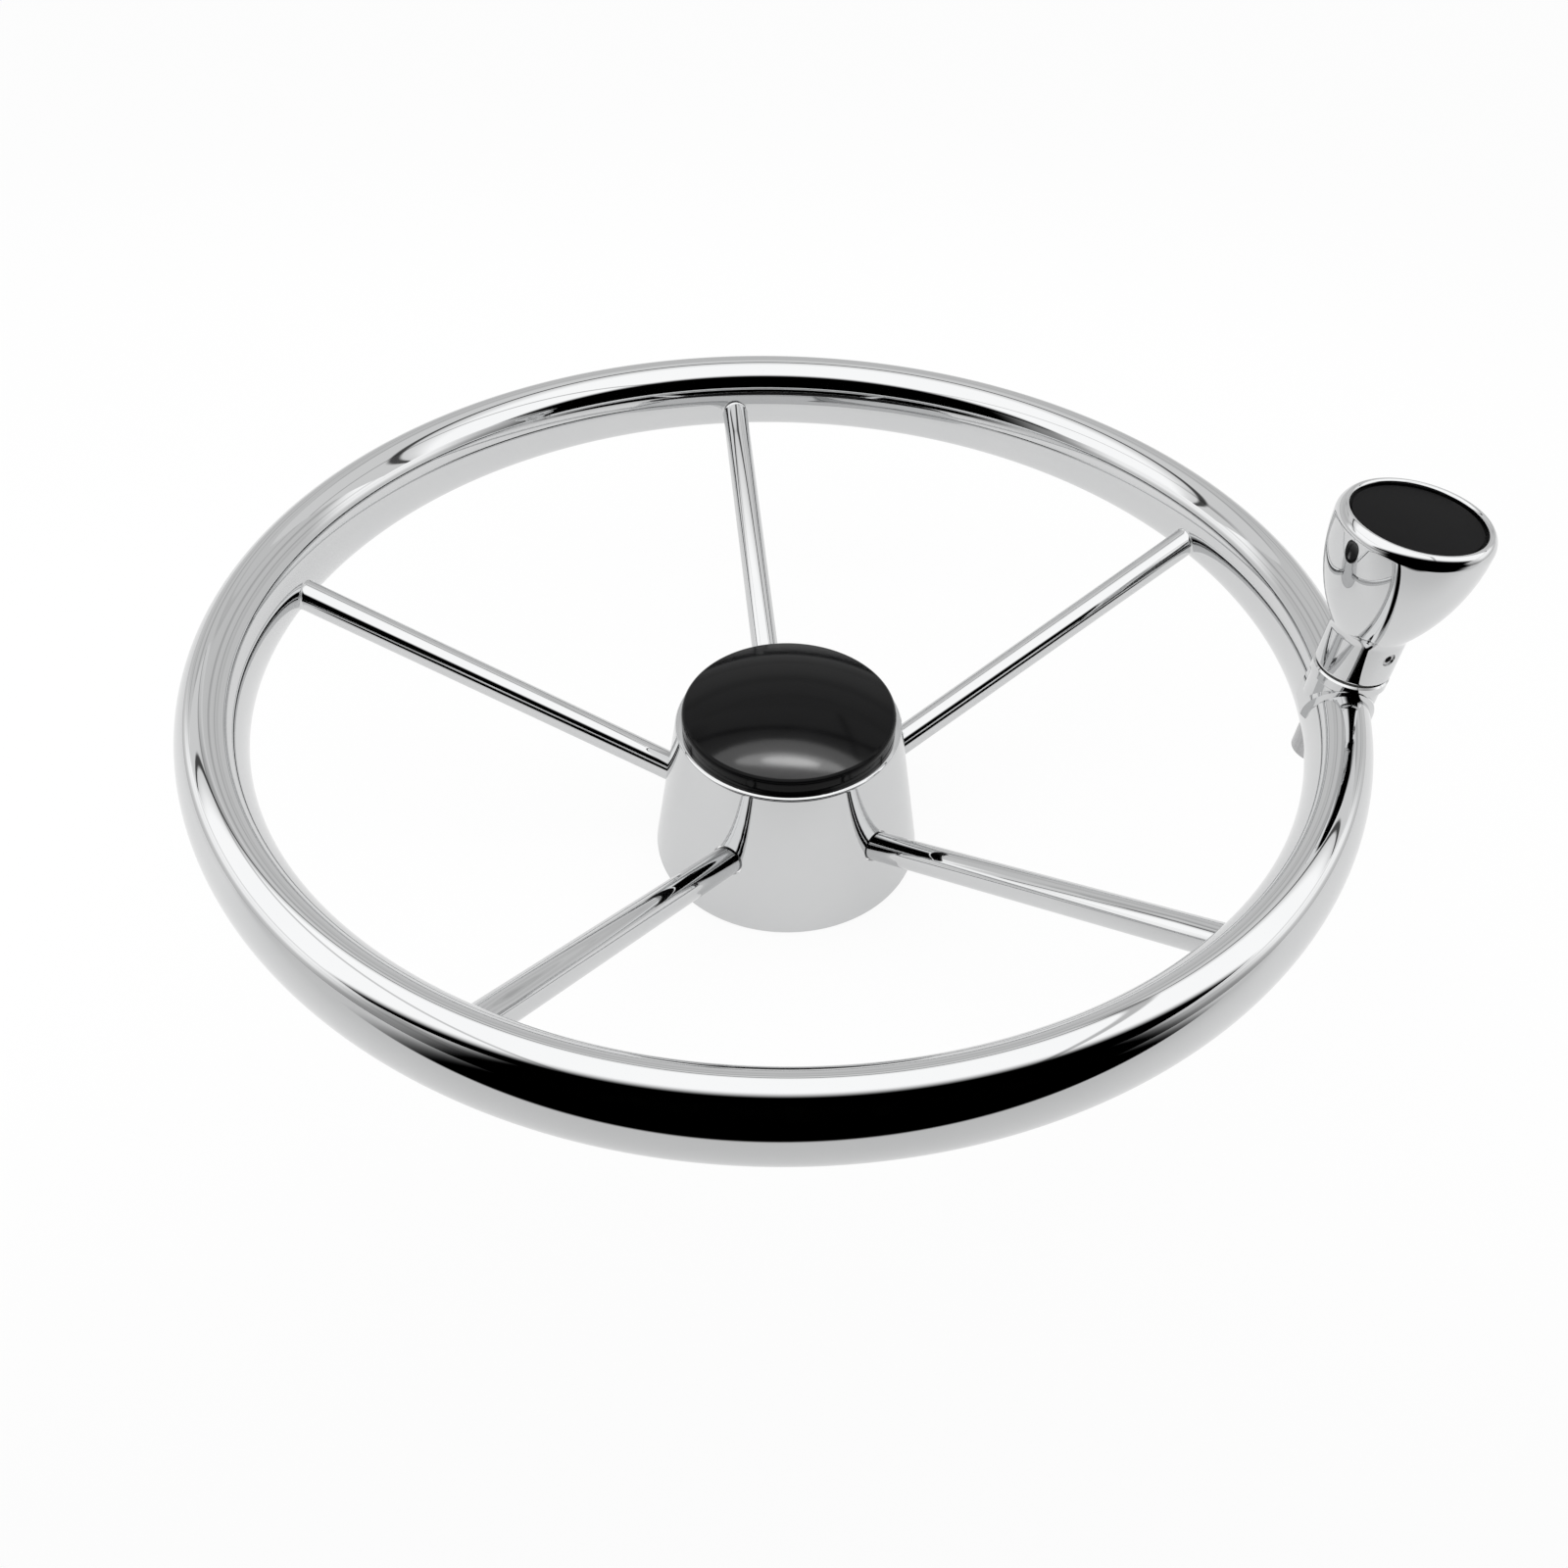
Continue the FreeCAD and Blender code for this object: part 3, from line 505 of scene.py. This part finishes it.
def floor_material():
    """White paper: it keeps the shadow, looks white to the camera and ends at the tent's opening. It has painted
    shade towards the front, and half of what gloss sees of it is a painted glow.
    """
    paper = Finish("floor", (FLOOR_ALBEDO,) * 3, specular=0.0)
    paper.shader.inputs["Roughness"].default_value = FLOOR_ROUGHNESS
    ahead, aside, _ = heading_parts(paper, paper.place)
    before = paper.times(ahead, -1.0)
    front = paper.step(before, *FLOOR_FRONT_FADE)
    # Painted shade: the paper is darker towards the front, in place of less light falling there
    paper.tint(front, (FLOOR_ALBEDO,) * 3, (FLOOR_FRONT_SHADED_ALBEDO,) * 3)
    far = paper.step(paper.length(paper.place), *FLOOR_SEEN_FADE)
    seen = paper.emission(paper.spread(far, *FLOOR_SEEN_LEVEL))
    # Painted light: the glow that reflections show of the floor
    mirrored = paper.emission(paper.spread(front, *FLOOR_GLOSS_LEVEL))
    towards = towards_opening(paper, *level_shares(paper, ahead, aside))
    end = paper.times(opening_share(paper, towards, *FLOOR_END_EDGE), paper.step(before, *FLOOR_END_FADE))
    seen_share = paper.times(paper.ray("Is Camera Ray"), FLOOR_SEEN_SHARE)
    gloss_share = paper.times(paper.ray("Is Glossy Ray"), FLOOR_GLOSS_SHARE)
    surface = paper.blend(seen_share, paper.shader.outputs[0], seen)
    surface = paper.blend(gloss_share, surface, mirrored)
    paper.show(paper.blend(end, surface, paper.emission(0.0)))
    return paper.material


def make_floor():
    bpy.ops.mesh.primitive_circle_add(vertices=FLOOR_STEPS, radius=FLOOR_RADIUS, fill_type="NGON",
                                      location=(0.0, 0.0, cad_box[0][2]))
    floor = bpy.context.object
    floor.name = "floor"
    floor.data.materials.append(floor_material())


def make_cap_lamp(name, receivers, ahead, length, depth, radiance):
    """Soft lamp just under the roof that shines on the given pieces only."""
    data = bpy.data.lights.new(name, "AREA")
    data.shape = "ELLIPSE"
    data.size = length
    data.size_y = depth
    area = math.pi * length * depth / 4
    data.energy = radiance * math.pi * area
    lamp = bpy.data.objects.new(name, data)
    lamp.location = (math.cos(HEADING) * ahead, math.sin(HEADING) * ahead, ROOF_HEIGHT - CAP_LAMP_GAP)
    lamp.rotation_euler = (0.0, 0.0, HEADING - math.pi / 2)
    lamp.visible_camera = False
    lamp.light_linking.receiver_collection = receivers
    bpy.context.scene.collection.objects.link(lamp)


def light_cap(cap):
    receivers = bpy.data.collections.new("cap_lamp_receivers")
    receivers.objects.link(cap)
    for name, sizes in CAP_LAMPS.items():
        make_cap_lamp(name, receivers, *sizes)


# Materials

def polished_steel():
    """Mirror polish with faint clouds, a fine haze and a hardly seen waviness."""
    steel = Finish("polished_steel", (0.66, 0.665, 0.67), metallic=1.0)
    cloud = steel.noise(28 * MM)
    haze = steel.noise(3 * MM, detail=4.0)
    steel.tint(cloud, (0.648, 0.654, 0.660), (0.675, 0.678, 0.680))
    steel.roughen(steel.times(cloud, haze), 0.012, 0.055)
    steel.emboss(steel.noise(14 * MM, detail=1.0), 0.006 * MM)
    return steel.material


def gloss_black():
    """Glossy moulded plastic of the cap."""
    plastic = Finish("cap_black", (0.002, 0.002, 0.002), specular=0.11)
    cloud = plastic.noise(9 * MM)
    plastic.tint(cloud, (0.0016, 0.0016, 0.0017), (0.0024, 0.0024, 0.0026))
    plastic.roughen(cloud, 0.08, 0.13)
    plastic.emboss(plastic.noise(1.6 * MM), 0.0006 * MM)
    return plastic.material


def satin_black():
    """Fine-grained moulded plastic of the insert."""
    plastic = Finish("insert_black", (0.005, 0.005, 0.005), specular=0.06)
    grain = plastic.noise(0.25 * MM, detail=3.0)
    plastic.tint(plastic.noise(6 * MM), (0.0045, 0.0045, 0.0048), (0.0060, 0.0060, 0.0064))
    plastic.roughen(grain, 0.42, 0.56)
    plastic.emboss(grain, 0.010 * MM)
    return plastic.material


def machined_steel():
    """Turned or spun steel: fine rings round the Z axis."""
    steel = Finish("machined_steel", (0.50, 0.50, 0.505), metallic=1.0)
    rings = steel.node("ShaderNodeTexWave", wave_type="RINGS", rings_direction="Z")
    steel.feed(steel.place, rings.inputs["Vector"])
    rings.inputs["Scale"].default_value = 2 * math.pi / WAVE_PHASE / RING_PITCH
    rings.inputs["Distortion"].default_value = 0.6
    rings.inputs["Detail"].default_value = 2.0
    steel.tint(steel.noise(5 * MM), (0.46, 0.46, 0.47), (0.54, 0.54, 0.54))
    steel.roughen(rings.outputs["Fac"], 0.22, 0.34)
    steel.emboss(rings.outputs["Fac"], 0.004 * MM)
    return steel.material


def bush_bronze():
    """Turned bronze of the bushes, with a fine grain."""
    bronze = Finish("bush_bronze", (0.55, 0.36, 0.17), metallic=1.0)
    grain = bronze.noise(0.3 * MM, detail=3.0)
    bronze.tint(grain, (0.46, 0.29, 0.13), (0.62, 0.42, 0.21))
    bronze.roughen(grain, 0.30, 0.45)
    bronze.emboss(grain, 0.006 * MM)
    return bronze.material


def washer_nylon():
    """Matt natural nylon of the thrust washer."""
    nylon = Finish("washer_nylon", (0.78, 0.77, 0.72))
    grain = nylon.noise(0.6 * MM)
    nylon.tint(grain, (0.74, 0.73, 0.68), (0.81, 0.80, 0.76))
    nylon.roughen(grain, 0.45, 0.60)
    nylon.emboss(grain, 0.008 * MM)
    return nylon.material


# Mesh helpers

def arc_points(start, end, bend):
    """Points between two ends of an arc. A positive bend has its centre on the left."""
    chord = end - start
    left = Vector((-chord.y, chord.x)).normalized()
    rise = math.sqrt(max(bend * bend - chord.length_squared / 4, 0.0))
    centre = (start + end) / 2 + left * math.copysign(rise, bend)
    sweep = 2 * math.asin(min(chord.length / 2 / abs(bend), 1.0))
    steps = max(2, math.ceil(sweep / ARC_STEP))
    turn = math.copysign(sweep / steps, bend)
    arm = start - centre
    return [centre + Matrix.Rotation(turn * index, 2) @ arm for index in range(1, steps)]


def support_points(start, end):
    """Two points close to the ends of a straight run, which keep its shading plain."""
    run = end - start
    if run.length < SHORTEST_SUPPORTED_RUN:
        return []
    step = run.normalized() * SUPPORT_GAP
    return [start + step, end - step]


def section(corners):
    """Closed section of (radius, level) corners. A third number bends the run to the next corner."""
    points = []
    for index, corner in enumerate(corners):
        start = Vector(corner[:2])
        end = Vector(corners[(index + 1) % len(corners)][:2])
        points.append(start)
        if len(corner) == 3:
            points += arc_points(start, end, corner[2])
        elif start.x > 0 or end.x > 0:
            points += support_points(start, end)
    return points


def ring_angles(steps):
    return [2 * math.pi * step / steps for step in range(steps)]


def join_rings(shape, first, second):
    """Faces between two rings, either of which may be a single point."""
    count = max(len(first), len(second))
    if count == 1:
        return
    for step in range(count):
        after = (step + 1) % count
        corners = [first[step % len(first)], first[after % len(first)],
                   second[after % len(second)], second[step % len(second)]]
        shape.faces.new(list(dict.fromkeys(corners)))


def link_piece(name, shape):
    """Object from a bmesh, which it uses up."""
    mesh = bpy.data.meshes.new(name)
    shape.to_mesh(mesh)
    shape.free()
    piece = bpy.data.objects.new(name, mesh)
    bpy.context.scene.collection.objects.link(piece)
    return piece


def shade_smooth(shape):
    """Smooth shading apart from the real edges."""
    for face in shape.faces:
        face.smooth = True
    for edge in shape.edges:
        edge.smooth = len(edge.link_faces) == 2 and edge.calc_face_angle() < SHARP_ANGLE


def finish_piece(name, shape):
    bmesh.ops.recalc_face_normals(shape, faces=shape.faces)
    shade_smooth(shape)
    return link_piece(name, shape)


def turned(name, corners):
    """Piece turned about the Z axis from a closed section."""
    shape = bmesh.new()
    rings = []
    for radius, level in section(corners):
        if radius < ON_AXIS:
            places = [(0.0, 0.0, level)]
        else:
            places = [(radius * math.cos(turn), radius * math.sin(turn), level)
                      for turn in ring_angles(TURN_STEPS)]
        rings.append([shape.verts.new(place) for place in places])
    for index, ring in enumerate(rings):
        join_rings(shape, rings[index - 1], ring)
    return finish_piece(name, shape)


def cut_away(piece, tools):
    """Cut closed tools out of a piece, and keep its smooth shading."""
    for tool in tools:
        cutter = piece.modifiers.new("cut", "BOOLEAN")
        cutter.operation = "DIFFERENCE"
        cutter.solver = "EXACT"
        cutter.object = tool
    graph = bpy.context.evaluated_depsgraph_get()
    mesh = bpy.data.meshes.new_from_object(piece.evaluated_get(graph))
    piece.modifiers.clear()
    piece.data = mesh
    for tool in tools:
        bpy.data.objects.remove(tool)
    shape = bmesh.new()
    shape.from_mesh(mesh)
    shade_smooth(shape)
    shape.to_mesh(mesh)
    shape.free()


def rod_tool(radius, start, end):
    """Closed cylinder between two points, to cut with."""
    axis = end - start
    shape = bmesh.new()
    bmesh.ops.create_cone(shape, cap_ends=True, segments=TOOL_STEPS, radius1=radius, radius2=radius,
                          depth=axis.length)
    lay = axis.to_track_quat("Z", "Y").to_matrix().to_4x4()
    place = Matrix.Translation((start + end) / 2) @ lay
    bmesh.ops.transform(shape, matrix=place, verts=shape.verts)
    return link_piece("tool", shape)


def box_tool(low, high, turn):
    """Closed box between two corners, turned about the Z axis, to cut with."""
    shape = bmesh.new()
    bmesh.ops.create_cube(shape, size=1.0)
    place = Matrix.Translation((low + high) / 2) @ Matrix.Diagonal((*(high - low), 1.0))
    bmesh.ops.transform(shape, matrix=Matrix.Rotation(turn, 4, "Z") @ place, verts=shape.verts)
    return link_piece("tool", shape)


# Pieces and CAD nodes

def node_body(node):
    """Body that a node belongs to."""
    bodies = frame["record"]["behaviour"]["bodies"]
    return next(body for body, members in bodies.items() if node in members)


def install(piece, node, material):
    """Put a piece in the place of a CAD node."""
    piece.data.materials.append(material)
    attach(piece, node_body(node))
    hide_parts(node)


def dress(node, material):
    """Give a CAD node its finish."""
    mesh = frame["nodes"][node].data
    mesh.materials.clear()
    mesh.materials.append(material)


# Rim: one closed ring with an oval section

rim_low, rim_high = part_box("rim_tube")
rim_level = (rim_low.z + rim_high.z) / 2
rim_half_height = (rim_high.z - rim_low.z) / 2
rim_half_width = RIM_WIDTH / 2
rim_radius = max(rim_high.x, rim_high.y) - rim_half_width


def make_rim(material):
    oval = [(rim_radius + rim_half_width * math.cos(angle), rim_level + rim_half_height * math.sin(angle))
            for angle in ring_angles(RIM_SECTION_STEPS)]
    shape = bmesh.new()
    rings = []
    for turn in ring_angles(RIM_STEPS):
        places = [(radius * math.cos(turn), radius * math.sin(turn), level) for radius, level in oval]
        rings.append([shape.verts.new(place) for place in places])
    for step, ring in enumerate(rings):
        join_rings(shape, rings[step - 1], ring)
    install(finish_piece("rim_skin", shape), "rim_tube", material)


# Spokes: bars with polished weld fillets at the rim and at the boss

spoke_low, spoke_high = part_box("spoke_1")
spoke_radius = (spoke_high.x - spoke_low.x) / 2
spoke_dish = math.atan((rim_level - SPOKE_DROP_AT_RIM - SPOKE_AXIS_LEVEL) / rim_radius)
spoke_foot = Vector((0.0, 0.0, SPOKE_AXIS_LEVEL))


def spoke_axes(number):
    """Direction of a spoke, and the two directions across it."""
    turn = math.pi / 2 - 2 * math.pi * number / SPOKE_COUNT
    outwards = Vector((math.cos(turn), math.sin(turn), 0.0))
    along = outwards * math.cos(spoke_dish) + Vector((0.0, 0.0, math.sin(spoke_dish)))
    across = Vector((-outwards.y, outwards.x, 0.0))
    return along, across, along.cross(across)


def in_boss(point):
    return math.hypot(point.x, point.y) < BOSS_RADIUS


def in_rim(point):
    width = (math.hypot(point.x, point.y) - rim_radius) / rim_half_width
    height = (point.z - rim_level) / rim_half_height
    return width * width + height * height < 1.0


def reach(start, along, inside, near, far):
    """Distance along a line at which it first gets inside a form."""
    for _ in range(HALVINGS):
        middle = (near + far) / 2
        if inside(start + along * middle):
            far = middle
        else:
            near = middle
    return (near + far) / 2


def fillet_point(corner, wall_end, bar_end, share):
    """Point on a hollow fillet between the bar and the wall that it is welded to."""
    return bar_end * (1 - share) ** 2 + corner * 2 * share * (1 - share) + wall_end * share ** 2


def make_spoke(number, material):
    along, across, over = spoke_axes(number)
    full = rim_radius / math.cos(spoke_dish)

    def boss_end(start):
        return start - along * reach(start, -along, in_boss, -full / 2, 0.0)

    def rim_end(start):
        return start + along * reach(start, along, in_rim, full / 2, full)

    shape = bmesh.new()
    shares = [index / WELD_RINGS for index in range(1, WELD_RINGS + 1)]
    columns = []
    for turn in ring_angles(SPOKE_STEPS):
        arm = across * math.cos(turn) + over * math.sin(turn)
        bar = spoke_foot + arm * spoke_radius
        wide = spoke_foot + arm * (spoke_radius + WELD_LEG)
        inner, inner_wall = boss_end(bar), boss_end(wide)
        outer, outer_wall = rim_end(bar), rim_end(wide)
        first, last = inner + along * WELD_LEG, outer - along * WELD_LEG
        column = [fillet_point(inner, inner_wall, first, share) for share in reversed(shares)]
        column += [first.lerp(last, index / BAR_RINGS) for index in range(BAR_RINGS + 1)]
        column += [fillet_point(outer, outer_wall, last, share) for share in shares]
        columns.append([shape.verts.new(point) for point in column])
    for step, column in enumerate(columns):
        before = columns[step - 1]
        for index in range(len(column) - 1):
            shape.faces.new((before[index], before[index + 1], column[index + 1], column[index]))
    for end, point in ((0, boss_end(spoke_foot)), (-1, rim_end(spoke_foot))):
        join_rings(shape, [column[end] for column in columns], [shape.verts.new(point)])
    node = "spoke_%d" % (number + 1)
    install(finish_piece(node + "_bar", shape), node, material)


# Hub shell: a cone rolled in at the top, with a ledge for the cap and a hole for each spoke

hub_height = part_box("hub_shell")[1].z
hub_slope = (HUB_BASE_RADIUS - HUB_TOP_RADIUS) / (hub_height - HUB_TOP_ROUNDING)
seat_radius = HUB_TOP_RADIUS - HUB_LIP_WIDTH
opening_radius = seat_radius - HUB_LEDGE_WIDTH
seat_level = hub_height - CAP_SEAT_DEPTH
flange_floor = seat_level - HUB_FLANGE


def hub_radius(level):
    return HUB_BASE_RADIUS - hub_slope * level


def on_inner_side(point):
    """Whether a point of the shell is on its inner side, under the flange."""
    middle = hub_radius(point.z) - HUB_WALL / 2
    return math.hypot(point.x, point.y) < middle and point.z < flange_floor


def make_hub(material, inner_material):
    """Turned cone. The centre of its lip's rounding lies one rounding inside the cone and under the top."""
    lean = 1 / math.hypot(1.0, hub_slope)
    lip_centre = hub_radius(hub_height) + HUB_LIP_ROUNDING * (hub_slope - 1 / lean)
    lip_start = hub_height - HUB_LIP_ROUNDING * (1 - lean * hub_slope)
    piece = turned("hub_cone", [
        (hub_radius(0.0) - HUB_WALL, 0.0),
        (HUB_BASE_RADIUS - HUB_FOOT_ROUNDING, 0.0, HUB_FOOT_ROUNDING),
        (hub_radius(HUB_FOOT_ROUNDING), HUB_FOOT_ROUNDING),
        (lip_centre + HUB_LIP_ROUNDING * lean, lip_start, HUB_LIP_ROUNDING),
        (lip_centre, hub_height),
        (seat_radius, hub_height),
        (seat_radius, seat_level),
        (opening_radius, seat_level),
        (opening_radius, flange_floor),
        (hub_radius(flange_floor) - HUB_WALL, flange_floor),
    ])
    tools = []
    for number in range(SPOKE_COUNT):
        along = spoke_axes(number)[0]
        tools.append(rod_tool(spoke_radius + SPOKE_HOLE_CLEARANCE, spoke_foot + along * BOSS_RADIUS,
                              spoke_foot + along * rim_radius / 2))
    cut_away(piece, tools)
    install(piece, "hub_shell", material)
    piece.data.materials.append(inner_material)
    for face in piece.data.polygons:
        face.material_index = int(on_inner_side(face.center))


# Hub cap

def make_cap(material):
    """Crowned cap with a rounded edge, on a split skirt whose barb snaps under the shell's ledge."""
    edge = seat_radius - CAP_CLEARANCE
    shoulder = hub_height + CAP_EDGE_HEIGHT
    centre = edge - CAP_ROUNDING
    span = CAP_CROWN_RADIUS - CAP_ROUNDING
    drop = math.sqrt(span * span - centre * centre)
    crown_level = shoulder - drop
    crown_share = CAP_CROWN_RADIUS / span
    vault = CAP_CROWN_RADIUS - CAP_WALL
    skirt = opening_radius - SKIRT_CLEARANCE
    skirt_foot = seat_level - SKIRT_DEPTH
    inner = skirt - SKIRT_WALL
    piece = turned("cap_dome", [
        (0.0, crown_level + vault, -vault),
        (inner, crown_level + math.sqrt(vault * vault - inner * inner)),
        (inner, skirt_foot),
        (skirt, skirt_foot),
        (skirt + SKIRT_BARB, flange_floor - SKIRT_BARB),
        (skirt, flange_floor),
        (skirt, seat_level),
        (edge, seat_level),
        (edge, shoulder, CAP_ROUNDING),
        (centre * crown_share, crown_level + drop * crown_share, CAP_CROWN_RADIUS),
        (0.0, crown_level + CAP_CROWN_RADIUS),
    ])
    side = Vector((edge, FINGER_GAP / 2, 0.0))
    low = Vector((0.0, 0.0, skirt_foot - SKIRT_BARB)) - side
    high = Vector((0.0, 0.0, seat_level - SKIRT_BARB)) + side
    turns = ring_angles(FINGER_COUNT)[:FINGER_COUNT // 2]
    cut_away(piece, [box_tool(low, high, turn) for turn in turns])
    install(piece, "hub_cap", material)
    return piece


# Knob: its place and axis come from its joint

knob_joint = next(joint for joint in frame["joints"] if joint["name"] == "knob_spin")
knob_place = Vector(knob_joint["pos_m"])
knob_lean = Vector(knob_joint["axis"]).normalized().angle(Vector((0, 0, 1)))
knob_azimuth = math.atan2(knob_joint["pos_m"][1], knob_joint["pos_m"][0])
knob_turn = Matrix.Rotation(knob_azimuth, 4, "Z") @ Matrix.Rotation(knob_lean, 4, "Y")
knob_frame = Matrix.Translation(knob_place) @ knob_turn

bead_level = KNOB_FLOOR + KNOB_BEAD_HEIGHT
bead_reach = KNOB_ROLL_RADIUS - (KNOB_RADIUS - KNOB_BEAD)
roll_level = bead_level + math.sqrt(KNOB_BEAD ** 2 - bead_reach ** 2)
recess_edge = roll_level - KNOB_ROLL_DROP
recess_floor = recess_edge - INSERT_SINK - INSERT_THICKNESS
web_top = KNOB_FLOOR + KNOB_WEB
well_top = web_top + KNOB_WELL_DEPTH


def make_knob(material):
    """Turned cup: neck, blend and flare run into each other, then the bead rolls down to the recess."""
    span = KNOB_BLEND + KNOB_FLARE
    offset = KNOB_NECK_RADIUS + KNOB_BLEND - KNOB_RADIUS + KNOB_FLARE
    drop = math.sqrt(span * span - offset * offset)
    flare_radius = KNOB_RADIUS - KNOB_FLARE + KNOB_FLARE * offset / span
    flare_level = bead_level - KNOB_FLARE * drop / span
    plug_bore = PLUG_RADIUS + RECESS_RADIUS - INSERT_RADIUS
    piece = turned("knob_cup", [
        (BUSH_SEAT_RADIUS, BORE_FLOOR),
        (FLANGE_SEAT_RADIUS, BORE_FLOOR),
        (FLANGE_SEAT_RADIUS, KNOB_FLOOR),
        (KNOB_NECK_RADIUS - KNOB_NECK_ROUNDING, KNOB_FLOOR, KNOB_NECK_ROUNDING),
        (KNOB_NECK_RADIUS, KNOB_FLOOR + KNOB_NECK_ROUNDING),
        (KNOB_NECK_RADIUS, bead_level - drop, -KNOB_BLEND),
        (flare_radius, flare_level, KNOB_FLARE),
        (KNOB_RADIUS, bead_level, KNOB_BEAD),
        (KNOB_ROLL_RADIUS, roll_level, KNOB_ROLL_BEND),
        (RECESS_RADIUS, recess_edge),
        (RECESS_RADIUS, recess_floor),
        (plug_bore, recess_floor),
        (plug_bore, well_top),
        (KNOB_WELL_RADIUS, well_top),
        (KNOB_WELL_RADIUS, web_top),
        (BUSH_SEAT_RADIUS, web_top),
    ])
    level = Vector((0.0, 0.0, KNOB_FLOOR + GRUB_HEIGHT))
    out = Vector((math.cos(GRUB_AZIMUTH), math.sin(GRUB_AZIMUTH), 0.0))
    cut_away(piece, [rod_tool(GRUB_RADIUS, level + out * GRUB_HOLE_START, level + out * KNOB_RADIUS)])
    piece.data.transform(knob_frame)
    install(piece, "knob_body", material)


def make_insert(material):
    """Crowned disc with a groove round its face, on a plug ring."""
    face = recess_floor + INSERT_THICKNESS
    face_edge = face - INSERT_CROWN
    side = INSERT_RADIUS - INSERT_GROOVE_WIDTH
    edge = side - INSERT_EDGE_BREAK
    ledge = face_edge - INSERT_GROOVE_DEPTH
    crown = (edge * edge / INSERT_CROWN + INSERT_CROWN) / 2
    plug_bore = PLUG_RADIUS - PLUG_WALL
    plug_foot = recess_floor - PLUG_DEPTH
    piece = turned("knob_disc", [
        (0.0, recess_floor),
        (plug_bore, recess_floor),
        (plug_bore, plug_foot),
        (PLUG_RADIUS, plug_foot),
        (PLUG_RADIUS, recess_floor),
        (INSERT_RADIUS, recess_floor),
        (INSERT_RADIUS, ledge),
        (side, ledge),
        (side, face_edge - INSERT_EDGE_BREAK, INSERT_EDGE_BREAK),
        (edge, face_edge, crown),
        (0.0, face),
    ])
    piece.data.transform(knob_frame)
    install(piece, "knob_insert", material)


make_camera()
make_world()
make_roof()
make_floor()

steel = polished_steel()
turned_steel = machined_steel()
bronze = bush_bronze()
make_rim(steel)
for spoke_number in range(SPOKE_COUNT):
    make_spoke(spoke_number, steel)
make_hub(steel, turned_steel)
light_cap(make_cap(gloss_black()))
make_knob(steel)
make_insert(satin_black())
dress("knob_base", steel)
dress("lower_bush", bronze)
dress("upper_bush", bronze)
dress("thrust_washer", washer_nylon())
for machined_node in MACHINED_NODES:
    dress(machined_node, turned_steel)

view = bpy.context.scene.view_settings
view.view_transform = "Standard"
